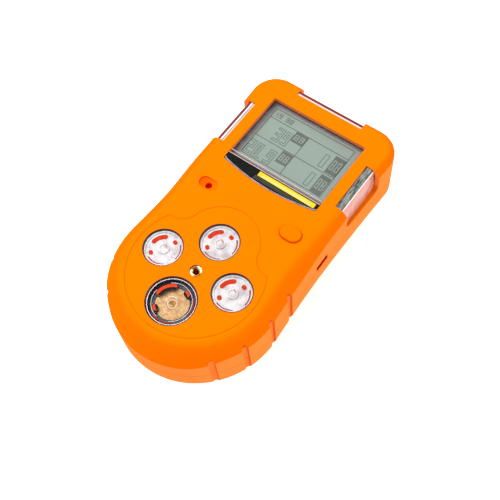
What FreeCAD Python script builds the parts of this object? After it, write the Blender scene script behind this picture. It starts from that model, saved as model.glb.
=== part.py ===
import FreeCAD, Part
import math
import os

os.makedirs("parts", exist_ok=True)

V = FreeCAD.Vector

# Portable four-gas detector, lying face up on its belt clip. Millimetres.
# Every function works from the calibration insert in the middle of the sensor ports:
# x to the right, y towards the display end, z out of the flat front face.
# save() moves each piece to the part's frame, whose origin lies under the middle of
# the body, on the surface that the clip rests on.

HUB_Y = -29.24          # the insert's place along the body
CLIP_DEPTH = 14.4       # from the back of the body to the clip's lowest face
BODY_DEPTH = 28.2       # front face to back
FACE_Z = BODY_DEPTH + CLIP_DEPTH

# Body outline: a round sensor end with a hip on either side, two slightly hollow sides
# and a head with round corners
SENSOR_END_R = 35.0     # from the insert to the widest part of the body
HIP_R = 37.0
HIP_FROM_DEG = -55.0
SIDE_START_DEG = 4.37
LOWER_SIDE_R = 516.0
UPPER_SIDE_R = 934.0
HEAD_CORNER_R = 11.5
HEAD_TOP_Y = 95.0
HEAD_CORNER_Y = HEAD_TOP_Y - HEAD_CORNER_R

# Shells
PARTING_Z = -17.2
SEAM = 0.2
WALL = 2.2
ROOF = 2.0
FLOOR = 2.0
REAR_EDGE_R = 3.0
INNER_NARROWER = 1.4    # the inside shoulder is this much narrower and lower
INNER_LOWER = 1.5
FACE_END_R = 27.8       # flat part of the front face round the sensor end
SHOULDER_W_SENSOR_END = 7.2
SHOULDER_W_HEAD = 3.4
SHOULDER_FROM_Y = 16.0
SHOULDER_TO_Y = 80.0
SHOULDER_SWEEP_DEG = 55.0
CREASE_DEPTHS = (       # y along the body, depth of the shoulder's crease below the face
    (-32.0, 9.2),
    (-20.0, 6.3),
    (18.0, 6.3),
    (44.0, 3.7),
    (80.0, 3.4),
)
OUTLINE_STEPS = (10, 16, 9, 9, 12)
TOP_STEPS = 6
SHOULDER_LEVELS = 6

# Soft seal in the seam
GASKET_INSET = 1.3
GASKET_W = 0.7
GASKET_T = 0.8
GASKET_PLAY = 0.05

# Charging contacts and blank label on the back
CONTACT_XS = (-6.0, 0.0, 6.0)
CONTACT_Y = 84.0
CONTACT_R = 1.2
CONTACT_HEAD_R = 1.8
LABEL_AREA = (-16.0, 16.0, -25.0, -3.0)
LABEL_RECESS = 0.4
LABEL_CORNER_R = 2.0

# Line engraved round the ports
ENGRAVE_R = 27.3
ENGRAVE_TOP_R = 15.8
ENGRAVE_TOP_Y = 15.0
ENGRAVE_FILLET_R = 8.0
ENGRAVE_SHOULDER_Y = 13.4
ENGRAVE_W = 0.3
ENGRAVE_DEPTH = 0.25

# Grip grooves down the sides: one above the round end, three on it
GROOVE_ANGLES_DEG = (1.5, -20.4, -41.5)
SIDE_GROOVE_Y = 13.4
GROOVE_R = 1.35
GROOVE_CENTRE_OUT = 0.25

# Sensor ports: x, y and radius
PORTS = {
    "left": (-16.74, 0.77, 7.85),
    "right": (16.74, 0.77, 7.85),
    "top": (0.0, 14.98, 7.85),
    "bottom": (0.0, -14.98, 9.87),
}
SENSOR_NAMES = {
    "left": "toxic_sensor_left",
    "right": "toxic_sensor_right",
    "top": "oxygen_sensor",
    "bottom": "combustible_sensor",
}
FILTER_NAMES = {
    "left": "filter_disc_left",
    "right": "filter_disc_right",
    "top": "filter_disc_top",
    "bottom": "sinter_disc",
}
PORT_CHAMFER = 0.35
COVER_GAP = 0.15
COVER_TOP_Z = -0.9
COVER_DISC_Z = -1.35
COVER_FLANGE = 1.05
COVER_BOTTOM_Z = -2.75
COVER_RIM_W = 0.7
COVER_HUB_R = 2.3
COVER_HUB_H = 0.35
SMALL_PORT_R = 7.85
SLOT_RING_R = 5.1
WIDE_SLOT_W = 2.0
WIDE_SLOT_DEG = (148.0, 55.0)   # middle and span
SHORT_SLOT_W = 1.7
SHORT_SLOTS_DEG = ((66.0, 6.0), (233.0, 6.0))
RIM_SLOT_R = 6.7
RIM_SLOT_W = 0.6
RIM_SLOTS_DEG = ((20.0, 52.0), (277.0, 58.0))
LUG_DROP = 0.2
LUG_PLAY = 0.06
LUG_WEB_T = 0.3
GASKET_HOLE_R = (4.0, 8.2)      # small ports, large port
FILTER_R = (3.9, 6.6)
FILTER_TOP_Z = (-2.8, -3.1)
GASKET_BOTTOM_Z = -3.4
SENSOR_R = 10.1
SENSOR_TOP_Z = -3.5
SENSOR_BOTTOM_Z = -20.0
SENSOR_PIN_R = 0.7
SENSOR_PIN_CIRCLE_R = 6.75
SENSOR_PIN_ANGLES_DEG = (90.0, 210.0, 330.0)
SENSOR_INLET_R = 2.0
SOCKET_R = 1.2

# Brass calibration insert, M3
INSERT_R = 2.5
INSERT_HOLE_R = 1.25
INSERT_LENGTH = 7.0
INSERT_HOLE_DEPTH = 6.0
INSERT_BOSS_R = 3.6

# Display opening
LENS_HALF_W = 22.6
LENS_TOP_Y = 83.0
LENS_CORNER_Y = 47.0
LENS_BULGE_Y = 44.4
LENS_CORNER_R = 0.9
LENS_TOP_Z = -0.5
LENS_FLANGE = 1.2
LENS_FLANGE_Z = -ROOF - 0.05
LENS_BOTTOM_Z = -2.6
DIVIDER_Y = 50.5
DIVIDER_TOP_Y = 52.3
TRIM_INSET = 0.3
TRIM_W = 0.45
STRIPE = (-6.2, 21.0, 47.9, 50.1)
LCD_HALF_W = 21.0
LCD_FROM_Y = 53.4
LCD_TO_Y = 81.9
LCD_Z = -3.65
LCD_T = 1.6
BACKLIGHT_T = 2.0

# Alarm windows
WINDOW_FROM_Y = 53.4
WINDOW_TO_Y = 76.0
WINDOW_INNER_X = 27.5
SIDE_SILL_Z = -12.6
TOP_SILL_Z = -9.5
SILL_CORNER_R = 3.0
WINDOW_OUT_X = 31.2
WINDOW_FOOT_X = 32.1
WINDOW_PLATE_TOP_Z = -6.2
WINDOW_PLATE_LAP = 1.2
WINDOW_SKIN = 1.6
TOP_WINDOW_HALF_W = 16.0
TOP_WINDOW_INNER_Y = 89.6
TOP_WINDOW_OUT_Y = 92.6
WINDOW_TOP_Z = -0.8
WINDOW_GAP = 0.15
WINDOW_EDGE_R = 1.5
TOP_WINDOW_EDGE_R = 1.2
TOP_WINDOW_SKIN = 1.3

# Power key
KEY_X = 20.35
KEY_Y = 33.5
KEY_LENGTH = 9.1
KEY_WIDTH = 6.7
KEY_PROUD = 1.0
KEY_GAP = 0.2
KEY_TRAVEL = 0.8

# Sounder
SOUNDER_X = -20.0
SOUNDER_Y = 33.5
SOUNDER_DISH_L = 8.4
SOUNDER_DISH_W = 5.3
SOUNDER_DISH_DEPTH = 0.7
SOUNDER_HOLE_R = 1.5

# Side slot with the infrared window
SLOT_FROM_Y = 32.5
SLOT_TO_Y = 40.0
SLOT_FROM_Z = -16.2
SLOT_TO_Z = -13.0
SLOT_CORNER_R = 0.8

# Boards
PCB_T = 1.6
MAIN_PCB_TOP_Z = -9.0
SENSOR_PCB_TOP_Z = -22.4
CHIPS = (               # x, length, y, width, height
    (-14.0, 8.0, 50.0, 8.0, 1.0),
    (2.0, 10.0, 66.0, 10.0, 1.2),
    (14.0, 5.0, 56.0, 5.0, 1.1),
    (-4.0, 4.0, 40.0, 6.0, 1.4),
    (8.0, 6.0, 78.0, 4.0, 0.9),
)

# Case screws, from the back
SCREW_PLACES = ((28.2, 87.2), (-28.2, 87.2), (19.8, -19.8), (-19.8, -19.8))
SCREW_BOSS_R = 3.0
SCREW_R = 1.25
SCREW_HEAD_R = 2.3

# Battery
BATTERY = (-17.0, 17.0, 33.0, 83.0, -23.4, -12.4)
LEAD_Z = -14.5
LEAD_R = 0.55
PLUG_X = -22.0

# Vibration motor
MOTOR_X = 24.5
MOTOR_Z = -20.2
MOTOR_R = 3.5
MOTOR_SHAFT_R = 0.5
MOTOR_FROM_Y = 44.0
MOTOR_TO_Y = 58.0

# Belt clip
CLIP_HALF_W = 12.0
CLIP_PLATE_T = 2.0
CLIP_PIVOT_Y = 52.0
CLIP_PIVOT_Z = -BODY_DEPTH - 8.0
CLIP_PIN_R = 1.5
CLIP_PIN_GAP = 0.05
CLIP_EAR_T = 2.0
CLIP_ARM_T = 2.4
CLIP_SCREW_YS = (15.0, 60.0)
BARREL_R = 3.1
BARREL_FROM_X = 5.0
BARREL_TO_X = 9.6
EAR_FROM_X = 10.0
SPRING_R = 2.35
SPRING_WIRE_R = 0.45
SPRING_TURNS = 5
SPRING_PITCH = 1.5
SPRING_ARM_LEG = 3.9
SPRING_BRACKET_LEG = 5.9


def save(name, shape):
    """Move a piece to the part's frame and write it."""
    moved = shape.copy()
    moved.translate(V(0, HUB_Y, FACE_Z))
    moved.exportStep("parts/" + name + ".step")
    print(name, moved.isValid(), len(moved.Solids), round(moved.Volume, 1))


def box(x0, x1, y0, y1, z0, z1):
    return Part.makeBox(x1 - x0, y1 - y0, z1 - z0, V(x0, y0, z0))


def disc(x, y, r, z0, z1):
    return Part.makeCylinder(r, z1 - z0, V(x, y, z0))


def polar(centre, r, deg):
    """The point at r from centre in the direction deg."""
    a = math.radians(deg)
    return V(centre.x + r * math.cos(a), centre.y + r * math.sin(a), 0)


def arc(centre, r, deg0, deg1):
    """Arc edge about centre in the xy plane."""
    middle = (deg0 + deg1) / 2
    return Part.Arc(polar(centre, r, deg0), polar(centre, r, middle), polar(centre, r, deg1)).toShape()


def line(a, b):
    return Part.LineSegment(a, b).toShape()


def mirrored(shape):
    """The same shape on the other side of x = 0."""
    return shape.mirror(V(0, 0, 0), V(1, 0, 0))


def prism(wire, z0, z1):
    """Upright prism on a flat wire drawn at z = 0."""
    face = Part.Face(wire)
    face.translate(V(0, 0, z0))
    return face.extrude(V(0, 0, z1 - z0))


def obround(x, y, length, width):
    """Closed wire with two half-round ends, long side along x."""
    r = width / 2
    half = (length - width) / 2
    right = V(x + half, y, 0)
    left = V(x - half, y, 0)
    edges = [
        arc(right, r, -90, 90),
        line(V(x + half, y + r, 0), V(x - half, y + r, 0)),
        arc(left, r, 90, 270),
        line(V(x - half, y - r, 0), V(x + half, y - r, 0)),
    ]
    return Part.Wire(edges)


def rounded_path(points, radius):
    """Wire of straight runs through the points, with each corner an arc of the radius."""
    edges = []
    start = points[0]
    for before, corner, after in zip(points, points[1:], points[2:]):
        to_before = (before - corner).normalize()
        to_after = (after - corner).normalize()
        half_angle = to_before.getAngle(to_after) / 2
        back = radius / math.tan(half_angle)
        first = corner + to_before * back
        last = corner + to_after * back
        bisector = (to_before + to_after).normalize()
        centre = corner + bisector * (radius / math.sin(half_angle))
        middle = centre - bisector * radius
        edges.append(line(start, first))
        edges.append(Part.Arc(first, middle, last).toShape())
        start = last
    edges.append(line(start, points[-1]))
    return Part.Wire(edges)


def outward(solid):
    """The solid with its faces pointing out."""
    if solid.Volume < 0:
        solid.reverse()
    return solid


def tube(points, radius, wire_r):
    """Round rod along a rounded path."""
    path = rounded_path(points, radius)
    ring = Part.Wire(Part.makeCircle(wire_r, points[0], points[1] - points[0]))
    return outward(path.makePipeShell([ring], True, False))


def strip(points, radius, thickness, x0, x1):
    """Flat strip whose middle line is a rounded path in the yz plane."""
    path = rounded_path([V(0, y, z) for y, z in points], radius)
    run = (path.Vertexes[1].Point - path.Vertexes[0].Point).normalize()
    side = V(0, -run.z, run.y) * (thickness / 2)
    a = path.Vertexes[0].Point
    corners = [a + side + V(x0, 0, 0), a + side + V(x1, 0, 0), a - side + V(x1, 0, 0), a - side + V(x0, 0, 0)]
    section = Part.makePolygon(corners + [corners[0]])
    return outward(path.makePipeShell([section], True, False))


# ---------------------------------------------------------------- body outline

HUB = V(0, 0, 0)
HIP_C = polar(HUB, SENSOR_END_R - HIP_R, SIDE_START_DEG)
END_R = HIP_R + HIP_C.x / math.cos(math.radians(HIP_FROM_DEG))
END_C = V(0, HIP_C.y - HIP_C.x * math.tan(math.radians(HIP_FROM_DEG)), 0)
LOWER_SIDE_C = polar(HUB, SENSOR_END_R + LOWER_SIDE_R, SIDE_START_DEG)
WAIST_X = LOWER_SIDE_C.x - LOWER_SIDE_R
UPPER_SIDE_C = V(WAIST_X + UPPER_SIDE_R, LOWER_SIDE_C.y, 0)
HEAD_RISE = HEAD_CORNER_Y - UPPER_SIDE_C.y
HEAD_TILT_DEG = math.degrees(math.asin(HEAD_RISE / (UPPER_SIDE_R + HEAD_CORNER_R)))
HEAD_CORNER_X = UPPER_SIDE_C.x - math.sqrt((UPPER_SIDE_R + HEAD_CORNER_R) ** 2 - HEAD_RISE ** 2)
HEAD_CORNER_C = V(HEAD_CORNER_X, HEAD_CORNER_Y, 0)


def outline_arcs(inset):
    """The right half of the outline as (centre, radius, from deg, to deg), bottom to top."""
    return (
        (END_C, END_R - inset, -90.0, HIP_FROM_DEG),
        (HIP_C, HIP_R - inset, HIP_FROM_DEG, SIDE_START_DEG),
        (LOWER_SIDE_C, LOWER_SIDE_R + inset, 180.0 + SIDE_START_DEG, 180.0),
        (UPPER_SIDE_C, UPPER_SIDE_R + inset, 180.0, 180.0 - HEAD_TILT_DEG),
        (HEAD_CORNER_C, HEAD_CORNER_R - inset, -HEAD_TILT_DEG, 90.0),
    )


def outline(inset):
    """Closed plan wire of the body, moved inwards by inset."""
    right = [arc(*values) for values in outline_arcs(inset)]
    top_y = HEAD_TOP_Y - inset
    top = line(V(HEAD_CORNER_X, top_y, 0), V(-HEAD_CORNER_X, top_y, 0))
    left = [mirrored(edge) for edge in right]
    return Part.Wire(Part.__sortEdges__(right + [top] + left))


def outline_stations():
    """Places round the right half of the outline: (arc number, degrees) or (None, x) on the top edge."""
    stations = []
    for number, (values, count) in enumerate(zip(outline_arcs(0.0), OUTLINE_STEPS)):
        for step in range(count):
            stations.append((number, values[2] + (values[3] - values[2]) * step / count))
    for step in range(TOP_STEPS + 1):
        stations.append((None, HEAD_CORNER_X * (1 - step / TOP_STEPS)))
    return stations


def outline_point(station, inset):
    number, value = station
    if number is None:
        return V(value, HEAD_TOP_Y - inset, 0)
    centre, r = outline_arcs(inset)[number][:2]
    return polar(centre, r, value)


def blend(y, y0, y1):
    """0 below y0, 1 above y1, smooth between."""
    t = min(1.0, max(0.0, (y - y0) / (y1 - y0)))
    return (1 - math.cos(math.pi * t)) / 2


def shoulder_size(p):
    """Width and height of the rounded shoulder at a point of the outline."""
    width = p.Length - FACE_END_R if p.y < 0 else SHOULDER_W_SENSOR_END
    width += (SHOULDER_W_HEAD - width) * blend(p.y, SHOULDER_FROM_Y, SHOULDER_TO_Y)
    height = CREASE_DEPTHS[0][1]
    for (y0, h0), (y1, h1) in zip(CREASE_DEPTHS, CREASE_DEPTHS[1:]):
        height += (h1 - h0) * blend(p.y, y0, y1)
    return width, height


def ring_through(points):
    """Closed smooth curve through the right half's points and their mirror images."""
    left = [V(-p.x, p.y, p.z) for p in reversed(points[1:-1])]
    curve = Part.BSplineCurve()
    curve.interpolate(Points=points + left, PeriodicFlag=True)
    return Part.Wire(curve.toShape())


def shoulder_ring(inset, top_z, narrower, lower, share):
    """One level line of the rounded shoulder: share 0 at the flat face, 1 at the crease."""
    sweep = math.radians(SHOULDER_SWEEP_DEG)
    out = math.sin(share * sweep) / math.sin(sweep)
    down = (1 - math.cos(share * sweep)) / (1 - math.cos(sweep))
    points = []
    for station in outline_stations():
        width, height = shoulder_size(outline_point(station, 0.0))
        here = outline_point(station, inset + (width - narrower) * (1 - out))
        here.z = top_z - (height - lower) * down
        points.append(here)
    return ring_through(points)


def flat_ring(inset, z):
    points = [outline_point(station, inset) for station in outline_stations()]
    for p in points:
        p.z = z
    return ring_through(points)


def domed_body(inset, top_z, bottom_z, narrower, lower):
    """Solid with a flat top, a rounded shoulder, a crease and upright walls."""
    shares = [i / SHOULDER_LEVELS for i in range(SHOULDER_LEVELS + 1)]
    rings = [shoulder_ring(inset, top_z, narrower, lower, share) for share in shares]
    base = flat_ring(inset, bottom_z)
    shoulder = Part.makeLoft(rings, False, False)
    wall = Part.makeLoft([rings[-1], base], False, True)
    faces = shoulder.Faces + wall.Faces + [Part.Face(rings[0]), Part.Face(base)]
    shell = Part.makeShell(faces)
    shell.sewShape()
    return Part.makeSolid(shell.reversed())


# ---------------------------------------------------------------- shared openings

def display_opening(grow):
    """Closed wire of the display opening: straight top and sides, bowed lower edge."""
    w = LENS_HALF_W + grow
    top = LENS_TOP_Y + grow
    low = LENS_CORNER_Y - grow
    bulge = LENS_BULGE_Y - grow
    edges = [
        line(V(w, low, 0), V(w, top, 0)),
        line(V(w, top, 0), V(-w, top, 0)),
        line(V(-w, top, 0), V(-w, low, 0)),
        Part.Arc(V(-w, low, 0), V(0, bulge, 0), V(w, low, 0)).toShape(),
    ]
    return Part.Wire(edges)


def soften_uprights(solid, radius):
    """Round the upright edges of a prism."""
    uprights = []
    for edge in solid.Edges:
        ends = [v.Point for v in edge.Vertexes]
        if len(ends) == 2 and abs(ends[0].x - ends[1].x) < 1e-6 and abs(ends[0].y - ends[1].y) < 1e-6:
            uprights.append(edge)
    return solid.makeFillet(radius, uprights)


def opening_prism(grow, z0, z1):
    return soften_uprights(prism(display_opening(grow), z0, z1), LENS_CORNER_R)


def side_window_cut(sign):
    """Cutter for a side alarm window, open at the face and at the side."""
    cut = box(WINDOW_INNER_X, SENSOR_END_R + 5, WINDOW_FROM_Y, WINDOW_TO_Y, SIDE_SILL_Z, 5)
    along = [e for e in cut.Edges if e.BoundBox.XLength > 1 and e.BoundBox.ZMax < SIDE_SILL_Z + 1]
    cut = cut.makeFillet(SILL_CORNER_R, along)
    return cut if sign > 0 else mirrored(cut)


def top_window_cut():
    w = TOP_WINDOW_HALF_W
    cut = box(-w, w, TOP_WINDOW_INNER_Y, HEAD_TOP_Y + 5, TOP_SILL_Z, 5)
    along = [e for e in cut.Edges if e.BoundBox.YLength > 1 and e.BoundBox.ZMax < TOP_SILL_Z + 1]
    return cut.makeFillet(SILL_CORNER_R, along)


def grip_grooves():
    places = [polar(HIP_C, HIP_R + GROOVE_CENTRE_OUT, deg) for deg in GROOVE_ANGLES_DEG]
    side_deg = 180.0 + math.degrees(math.asin((LOWER_SIDE_C.y - SIDE_GROOVE_Y) / LOWER_SIDE_R))
    places.append(polar(LOWER_SIDE_C, LOWER_SIDE_R - GROOVE_CENTRE_OUT, side_deg))
    cutters = []
    for p in places:
        cutter = disc(p.x, p.y, GROOVE_R, -BODY_DEPTH - 1, 1)
        cutters += [cutter, mirrored(cutter)]
    return cutters


# ---------------------------------------------------------------- shells

def engraved_area(grow):
    """Solid under the engraved outline: a large round, a smaller round above it, hollow corners between."""
    big = disc(0, 0, ENGRAVE_R + grow, -ENGRAVE_DEPTH, 1)
    big = big.cut(box(-40, 40, ENGRAVE_SHOULDER_Y + grow, 60, -5, 5))
    lobe = disc(0, ENGRAVE_TOP_Y, ENGRAVE_TOP_R + grow, -ENGRAVE_DEPTH, 1)
    both = big.fuse(lobe)
    fillet_r = ENGRAVE_FILLET_R - grow
    fillet_y = ENGRAVE_SHOULDER_Y + grow + fillet_r
    reach = ENGRAVE_TOP_R + grow + fillet_r
    fillet_x = math.sqrt(reach ** 2 - (fillet_y - ENGRAVE_TOP_Y) ** 2)
    corner = box(0, fillet_x, ENGRAVE_SHOULDER_Y + grow - 1, fillet_y, -ENGRAVE_DEPTH, 1)
    corner = corner.cut(disc(fillet_x, fillet_y, fillet_r, -5, 5))
    return both.fuse([corner, mirrored(corner)]).removeSplitter()


def engraved_line():
    return engraved_area(ENGRAVE_W / 2).cut(engraved_area(-ENGRAVE_W / 2))


def make_front_shell():
    shell = domed_body(0.0, 0.0, PARTING_Z, 0.0, 0.0)
    shell = shell.cut(domed_body(WALL, -ROOF, PARTING_Z - 1, INNER_NARROWER, INNER_LOWER))
    bosses = [disc(x, y, SCREW_BOSS_R, PARTING_Z, -3.0) for x, y in SCREW_PLACES]
    bosses.append(disc(0, 0, INSERT_BOSS_R, -9.0, -1.0))
    shell = shell.fuse(bosses)
    cuts = [disc(x, y, SCREW_R, PARTING_Z - 1, -8.0) for x, y in SCREW_PLACES]
    cuts.append(disc(0, 0, INSERT_R, -INSERT_LENGTH - 0.5, 1))
    for x, y, r in PORTS.values():
        cuts.append(disc(x, y, r, -5, 5))
        cuts.append(Part.makeCone(r, r + 2 * PORT_CHAMFER, 2 * PORT_CHAMFER, V(x, y, -PORT_CHAMFER)))
    cuts.append(opening_prism(0.0, -5, 5))
    cuts.append(prism(obround(KEY_X, KEY_Y, KEY_LENGTH + 2 * KEY_GAP, KEY_WIDTH + 2 * KEY_GAP), -5, 5))
    cuts.append(prism(obround(SOUNDER_X, SOUNDER_Y, SOUNDER_DISH_L, SOUNDER_DISH_W), -SOUNDER_DISH_DEPTH, 5))
    cuts.append(disc(SOUNDER_X + 0.5, SOUNDER_Y - 0.4, SOUNDER_HOLE_R, -5, 5))
    cuts.append(side_window_cut(1))
    cuts.append(side_window_cut(-1))
    cuts.append(top_window_cut())
    cuts.append(soft_slot())
    cuts += grip_grooves()
    shell = shell.cut(cuts)
    return shell.cut(engraved_line())


def soft_slot():
    slot = box(28, 40, SLOT_FROM_Y, SLOT_TO_Y, SLOT_FROM_Z, SLOT_TO_Z)
    along = [e for e in slot.Edges if e.BoundBox.XLength > 1]
    return slot.makeFillet(SLOT_CORNER_R, along)


def make_rear_shell():
    body = prism(outline(0.0), -BODY_DEPTH, PARTING_Z - SEAM)
    back = [e for e in body.Edges if e.BoundBox.ZMax < -BODY_DEPTH + 0.01]
    body = body.makeFillet(REAR_EDGE_R, back)
    cavity = prism(outline(WALL), -BODY_DEPTH + FLOOR, 0)
    floor_edges = [e for e in cavity.Edges if e.BoundBox.ZMax < -BODY_DEPTH + FLOOR + 0.01]
    body = body.cut(cavity.makeFillet(REAR_EDGE_R - WALL, floor_edges))
    columns = [disc(x, y, SCREW_BOSS_R, -BODY_DEPTH + 1, PARTING_Z - SEAM) for x, y in SCREW_PLACES]
    columns.append(box(-10, 10, 8, 64, -BODY_DEPTH + 1, -BODY_DEPTH + 3.0))
    body = body.fuse(columns)
    inner = prism(outline(GASKET_INSET + GASKET_W), PARTING_Z - SEAM - GASKET_T, 0)
    groove = prism(outline(GASKET_INSET), PARTING_Z - SEAM - GASKET_T, 0).cut(inner)
    cuts = [groove]
    for x, y in SCREW_PLACES:
        cuts.append(disc(x, y, SCREW_R + 0.15, -30, 0))
        cuts.append(disc(x, y, SCREW_HEAD_R + 0.3, -30, -BODY_DEPTH + 2.4))
    cuts += [disc(0, y, SCREW_R, -30, -BODY_DEPTH + 3.5) for y in CLIP_SCREW_YS]
    cuts += [disc(x, CONTACT_Y, CONTACT_R + 0.05, -30, 0) for x in CONTACT_XS]
    recess = box(*LABEL_AREA, -BODY_DEPTH - 1, -BODY_DEPTH + LABEL_RECESS)
    cuts.append(soften_uprights(recess, LABEL_CORNER_R))
    cuts += grip_grooves()
    return body.cut(cuts)


def make_shell_gasket():
    z0 = PARTING_Z - SEAM - GASKET_T
    z1 = PARTING_Z - 0.02
    ring = prism(outline(GASKET_INSET + GASKET_PLAY), z0, z1)
    ring = ring.cut(prism(outline(GASKET_INSET + GASKET_W - GASKET_PLAY), z0 - 1, z1 + 1))
    return ring.cut([disc(x, y, SCREW_R + 0.3, -20, 0) for x, y in SCREW_PLACES])


def make_case_screws():
    screws = []
    head_z = -BODY_DEPTH + 2.4
    for x, y in SCREW_PLACES:
        screw = disc(x, y, SCREW_R - 0.03, head_z, -8.6)
        head = disc(x, y, SCREW_HEAD_R, head_z - 1.6, head_z)
        slot_a = box(x - 1.5, x + 1.5, y - 0.25, y + 0.25, head_z - 2, head_z - 0.7)
        slot_b = box(x - 0.25, x + 0.25, y - 1.5, y + 1.5, head_z - 2, head_z - 0.7)
        screws.append(screw.fuse(head).cut([slot_a, slot_b]))
    return Part.makeCompound(screws)


def make_rear_label():
    x0, x1, y0, y1 = LABEL_AREA
    plate = box(x0 + 0.15, x1 - 0.15, y0 + 0.15, y1 - 0.15, -BODY_DEPTH + 0.1, -BODY_DEPTH + LABEL_RECESS)
    return soften_uprights(plate, LABEL_CORNER_R - 0.15)


# ---------------------------------------------------------------- sensors and ports

def arc_slot(x, y, r, width, centre_deg, span_deg, z0, z1):
    """Curved slot about (x, y): a ring sector with round ends."""
    here = V(x, y, 0)
    d0 = centre_deg - span_deg / 2
    d1 = centre_deg + span_deg / 2
    edges = [
        arc(here, r + width / 2, d0, d1),
        arc(polar(here, r, d1), width / 2, d1, d1 + 180),
        arc(here, r - width / 2, d1, d0),
        arc(polar(here, r, d0), width / 2, d0 - 180, d0),
    ]
    return prism(Part.Wire(edges), z0, z1)


def port_slots(x, y, r, shrink, z0, z1):
    """The slots of a port cover: one wide, two short, two thin ones along the rim."""
    scale = r / SMALL_PORT_R
    ring = SLOT_RING_R * scale
    rim = RIM_SLOT_R * scale
    slots = [arc_slot(x, y, ring, (WIDE_SLOT_W - shrink) * scale, *WIDE_SLOT_DEG, z0, z1)]
    for deg in SHORT_SLOTS_DEG:
        slots.append(arc_slot(x, y, ring, (SHORT_SLOT_W - shrink) * scale, *deg, z0, z1))
    for deg in RIM_SLOTS_DEG:
        slots.append(arc_slot(x, y, rim, RIM_SLOT_W - shrink, *deg, z0, z1))
    return slots


def make_port_cover(x, y, r):
    """Moulded cover: rim ring, slotted disc, raised middle and a flange behind the shell."""
    out = r - COVER_GAP
    cover = disc(x, y, out, COVER_BOTTOM_Z, COVER_TOP_Z)
    cover = cover.cut(disc(x, y, out - COVER_RIM_W, COVER_DISC_Z, 1))
    cover = cover.fuse(disc(x, y, r + COVER_FLANGE, COVER_BOTTOM_Z, -ROOF - 0.05))
    cover = cover.fuse(disc(x, y, COVER_HUB_R, COVER_BOTTOM_Z, COVER_DISC_Z + COVER_HUB_H))
    cover = cover.cut(disc(x, y, COVER_HUB_R - 0.8, COVER_DISC_Z + 0.1, 1))
    return cover.cut(port_slots(x, y, r, 0.0, -5, 1))


def lug_webs(x, y, hole_r):
    """Thin bridges that carry the wide and short lugs of the large port over its open middle."""
    ring = SLOT_RING_R * PORTS["bottom"][2] / SMALL_PORT_R
    inner = ring - SHORT_SLOT_W / 2
    middle = (inner + hole_r) / 2
    width = hole_r - inner + 0.4
    webs = []
    for centre_deg, span_deg in (WIDE_SLOT_DEG,) + SHORT_SLOTS_DEG:
        slot = arc_slot(x, y, middle, width, centre_deg, span_deg, COVER_BOTTOM_Z - LUG_WEB_T, COVER_BOTTOM_Z)
        webs.append(slot)
    return webs


def make_port_gasket(x, y, r):
    """Soft ring under the cover, with lugs that stand up in the cover's slots."""
    hole_r = GASKET_HOLE_R[r > SMALL_PORT_R]
    ring = disc(x, y, r + COVER_FLANGE, GASKET_BOTTOM_Z, COVER_BOTTOM_Z)
    ring = ring.cut(disc(x, y, hole_r, -5, 0))
    lugs = port_slots(x, y, r, LUG_PLAY, COVER_BOTTOM_Z, COVER_DISC_Z - LUG_DROP)
    if r > SMALL_PORT_R:
        lugs += lug_webs(x, y, hole_r)
    return ring.fuse(lugs)


def make_filter(x, y, r):
    """Disc in the gasket's hole, over the sensor's inlet."""
    large = r > SMALL_PORT_R
    return disc(x, y, FILTER_R[large], GASKET_BOTTOM_Z, FILTER_TOP_Z[large])


def make_sensor(x, y):
    body = disc(x, y, SENSOR_R, SENSOR_BOTTOM_Z + 1.5, SENSOR_TOP_Z)
    foot = disc(x, y, SENSOR_R - 0.4, SENSOR_BOTTOM_Z, SENSOR_BOTTOM_Z + 1.5)
    inlet = disc(x, y, SENSOR_INLET_R, SENSOR_TOP_Z - 1.0, SENSOR_TOP_Z + 1)
    rim = [e for e in body.Edges if e.BoundBox.ZMin > SENSOR_TOP_Z - 0.01]
    body = body.makeFillet(0.6, rim).cut(inlet)
    pins = []
    for deg in SENSOR_PIN_ANGLES_DEG:
        p = polar(V(x, y, 0), SENSOR_PIN_CIRCLE_R, deg)
        pins.append(disc(p.x, p.y, SENSOR_PIN_R, SENSOR_PCB_TOP_Z + 0.2, SENSOR_BOTTOM_Z + 0.5))
    return body.fuse([foot] + pins)


def make_sensor_sockets():
    sockets = []
    for x, y, r in PORTS.values():
        for deg in SENSOR_PIN_ANGLES_DEG:
            p = polar(V(x, y, 0), SENSOR_PIN_CIRCLE_R, deg)
            socket = disc(p.x, p.y, SOCKET_R, SENSOR_PCB_TOP_Z, SENSOR_BOTTOM_Z - 0.1)
            sockets.append(socket.cut(disc(p.x, p.y, SENSOR_PIN_R + 0.1, -30, 0)))
    return Part.makeCompound(sockets)


def make_sensor_pcb():
    z0 = SENSOR_PCB_TOP_Z - PCB_T
    board = disc(0, 0, 30.5, z0, SENSOR_PCB_TOP_Z).cut(box(-40, 40, 23.5, 40, -30, 0))
    return board.cut([disc(x, y, SCREW_BOSS_R + 0.4, -30, 0) for x, y in SCREW_PLACES if y < 0])


def make_brass_insert():
    insert = disc(0, 0, INSERT_R - 0.02, -INSERT_LENGTH, -0.15)
    rim = [e for e in insert.Edges if e.BoundBox.ZMin > -0.2]
    insert = insert.makeChamfer(0.25, rim)
    insert = insert.cut(disc(0, 0, INSERT_HOLE_R, -INSERT_HOLE_DEPTH - 0.15, 1))
    mouth = Part.makeCone(INSERT_HOLE_R, INSERT_HOLE_R + 0.6, 0.6, V(0, 0, -0.6))
    return insert.cut(mouth)


# ---------------------------------------------------------------- display

def above(y):
    return box(-40, 40, y, 120, -20, 5)


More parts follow.
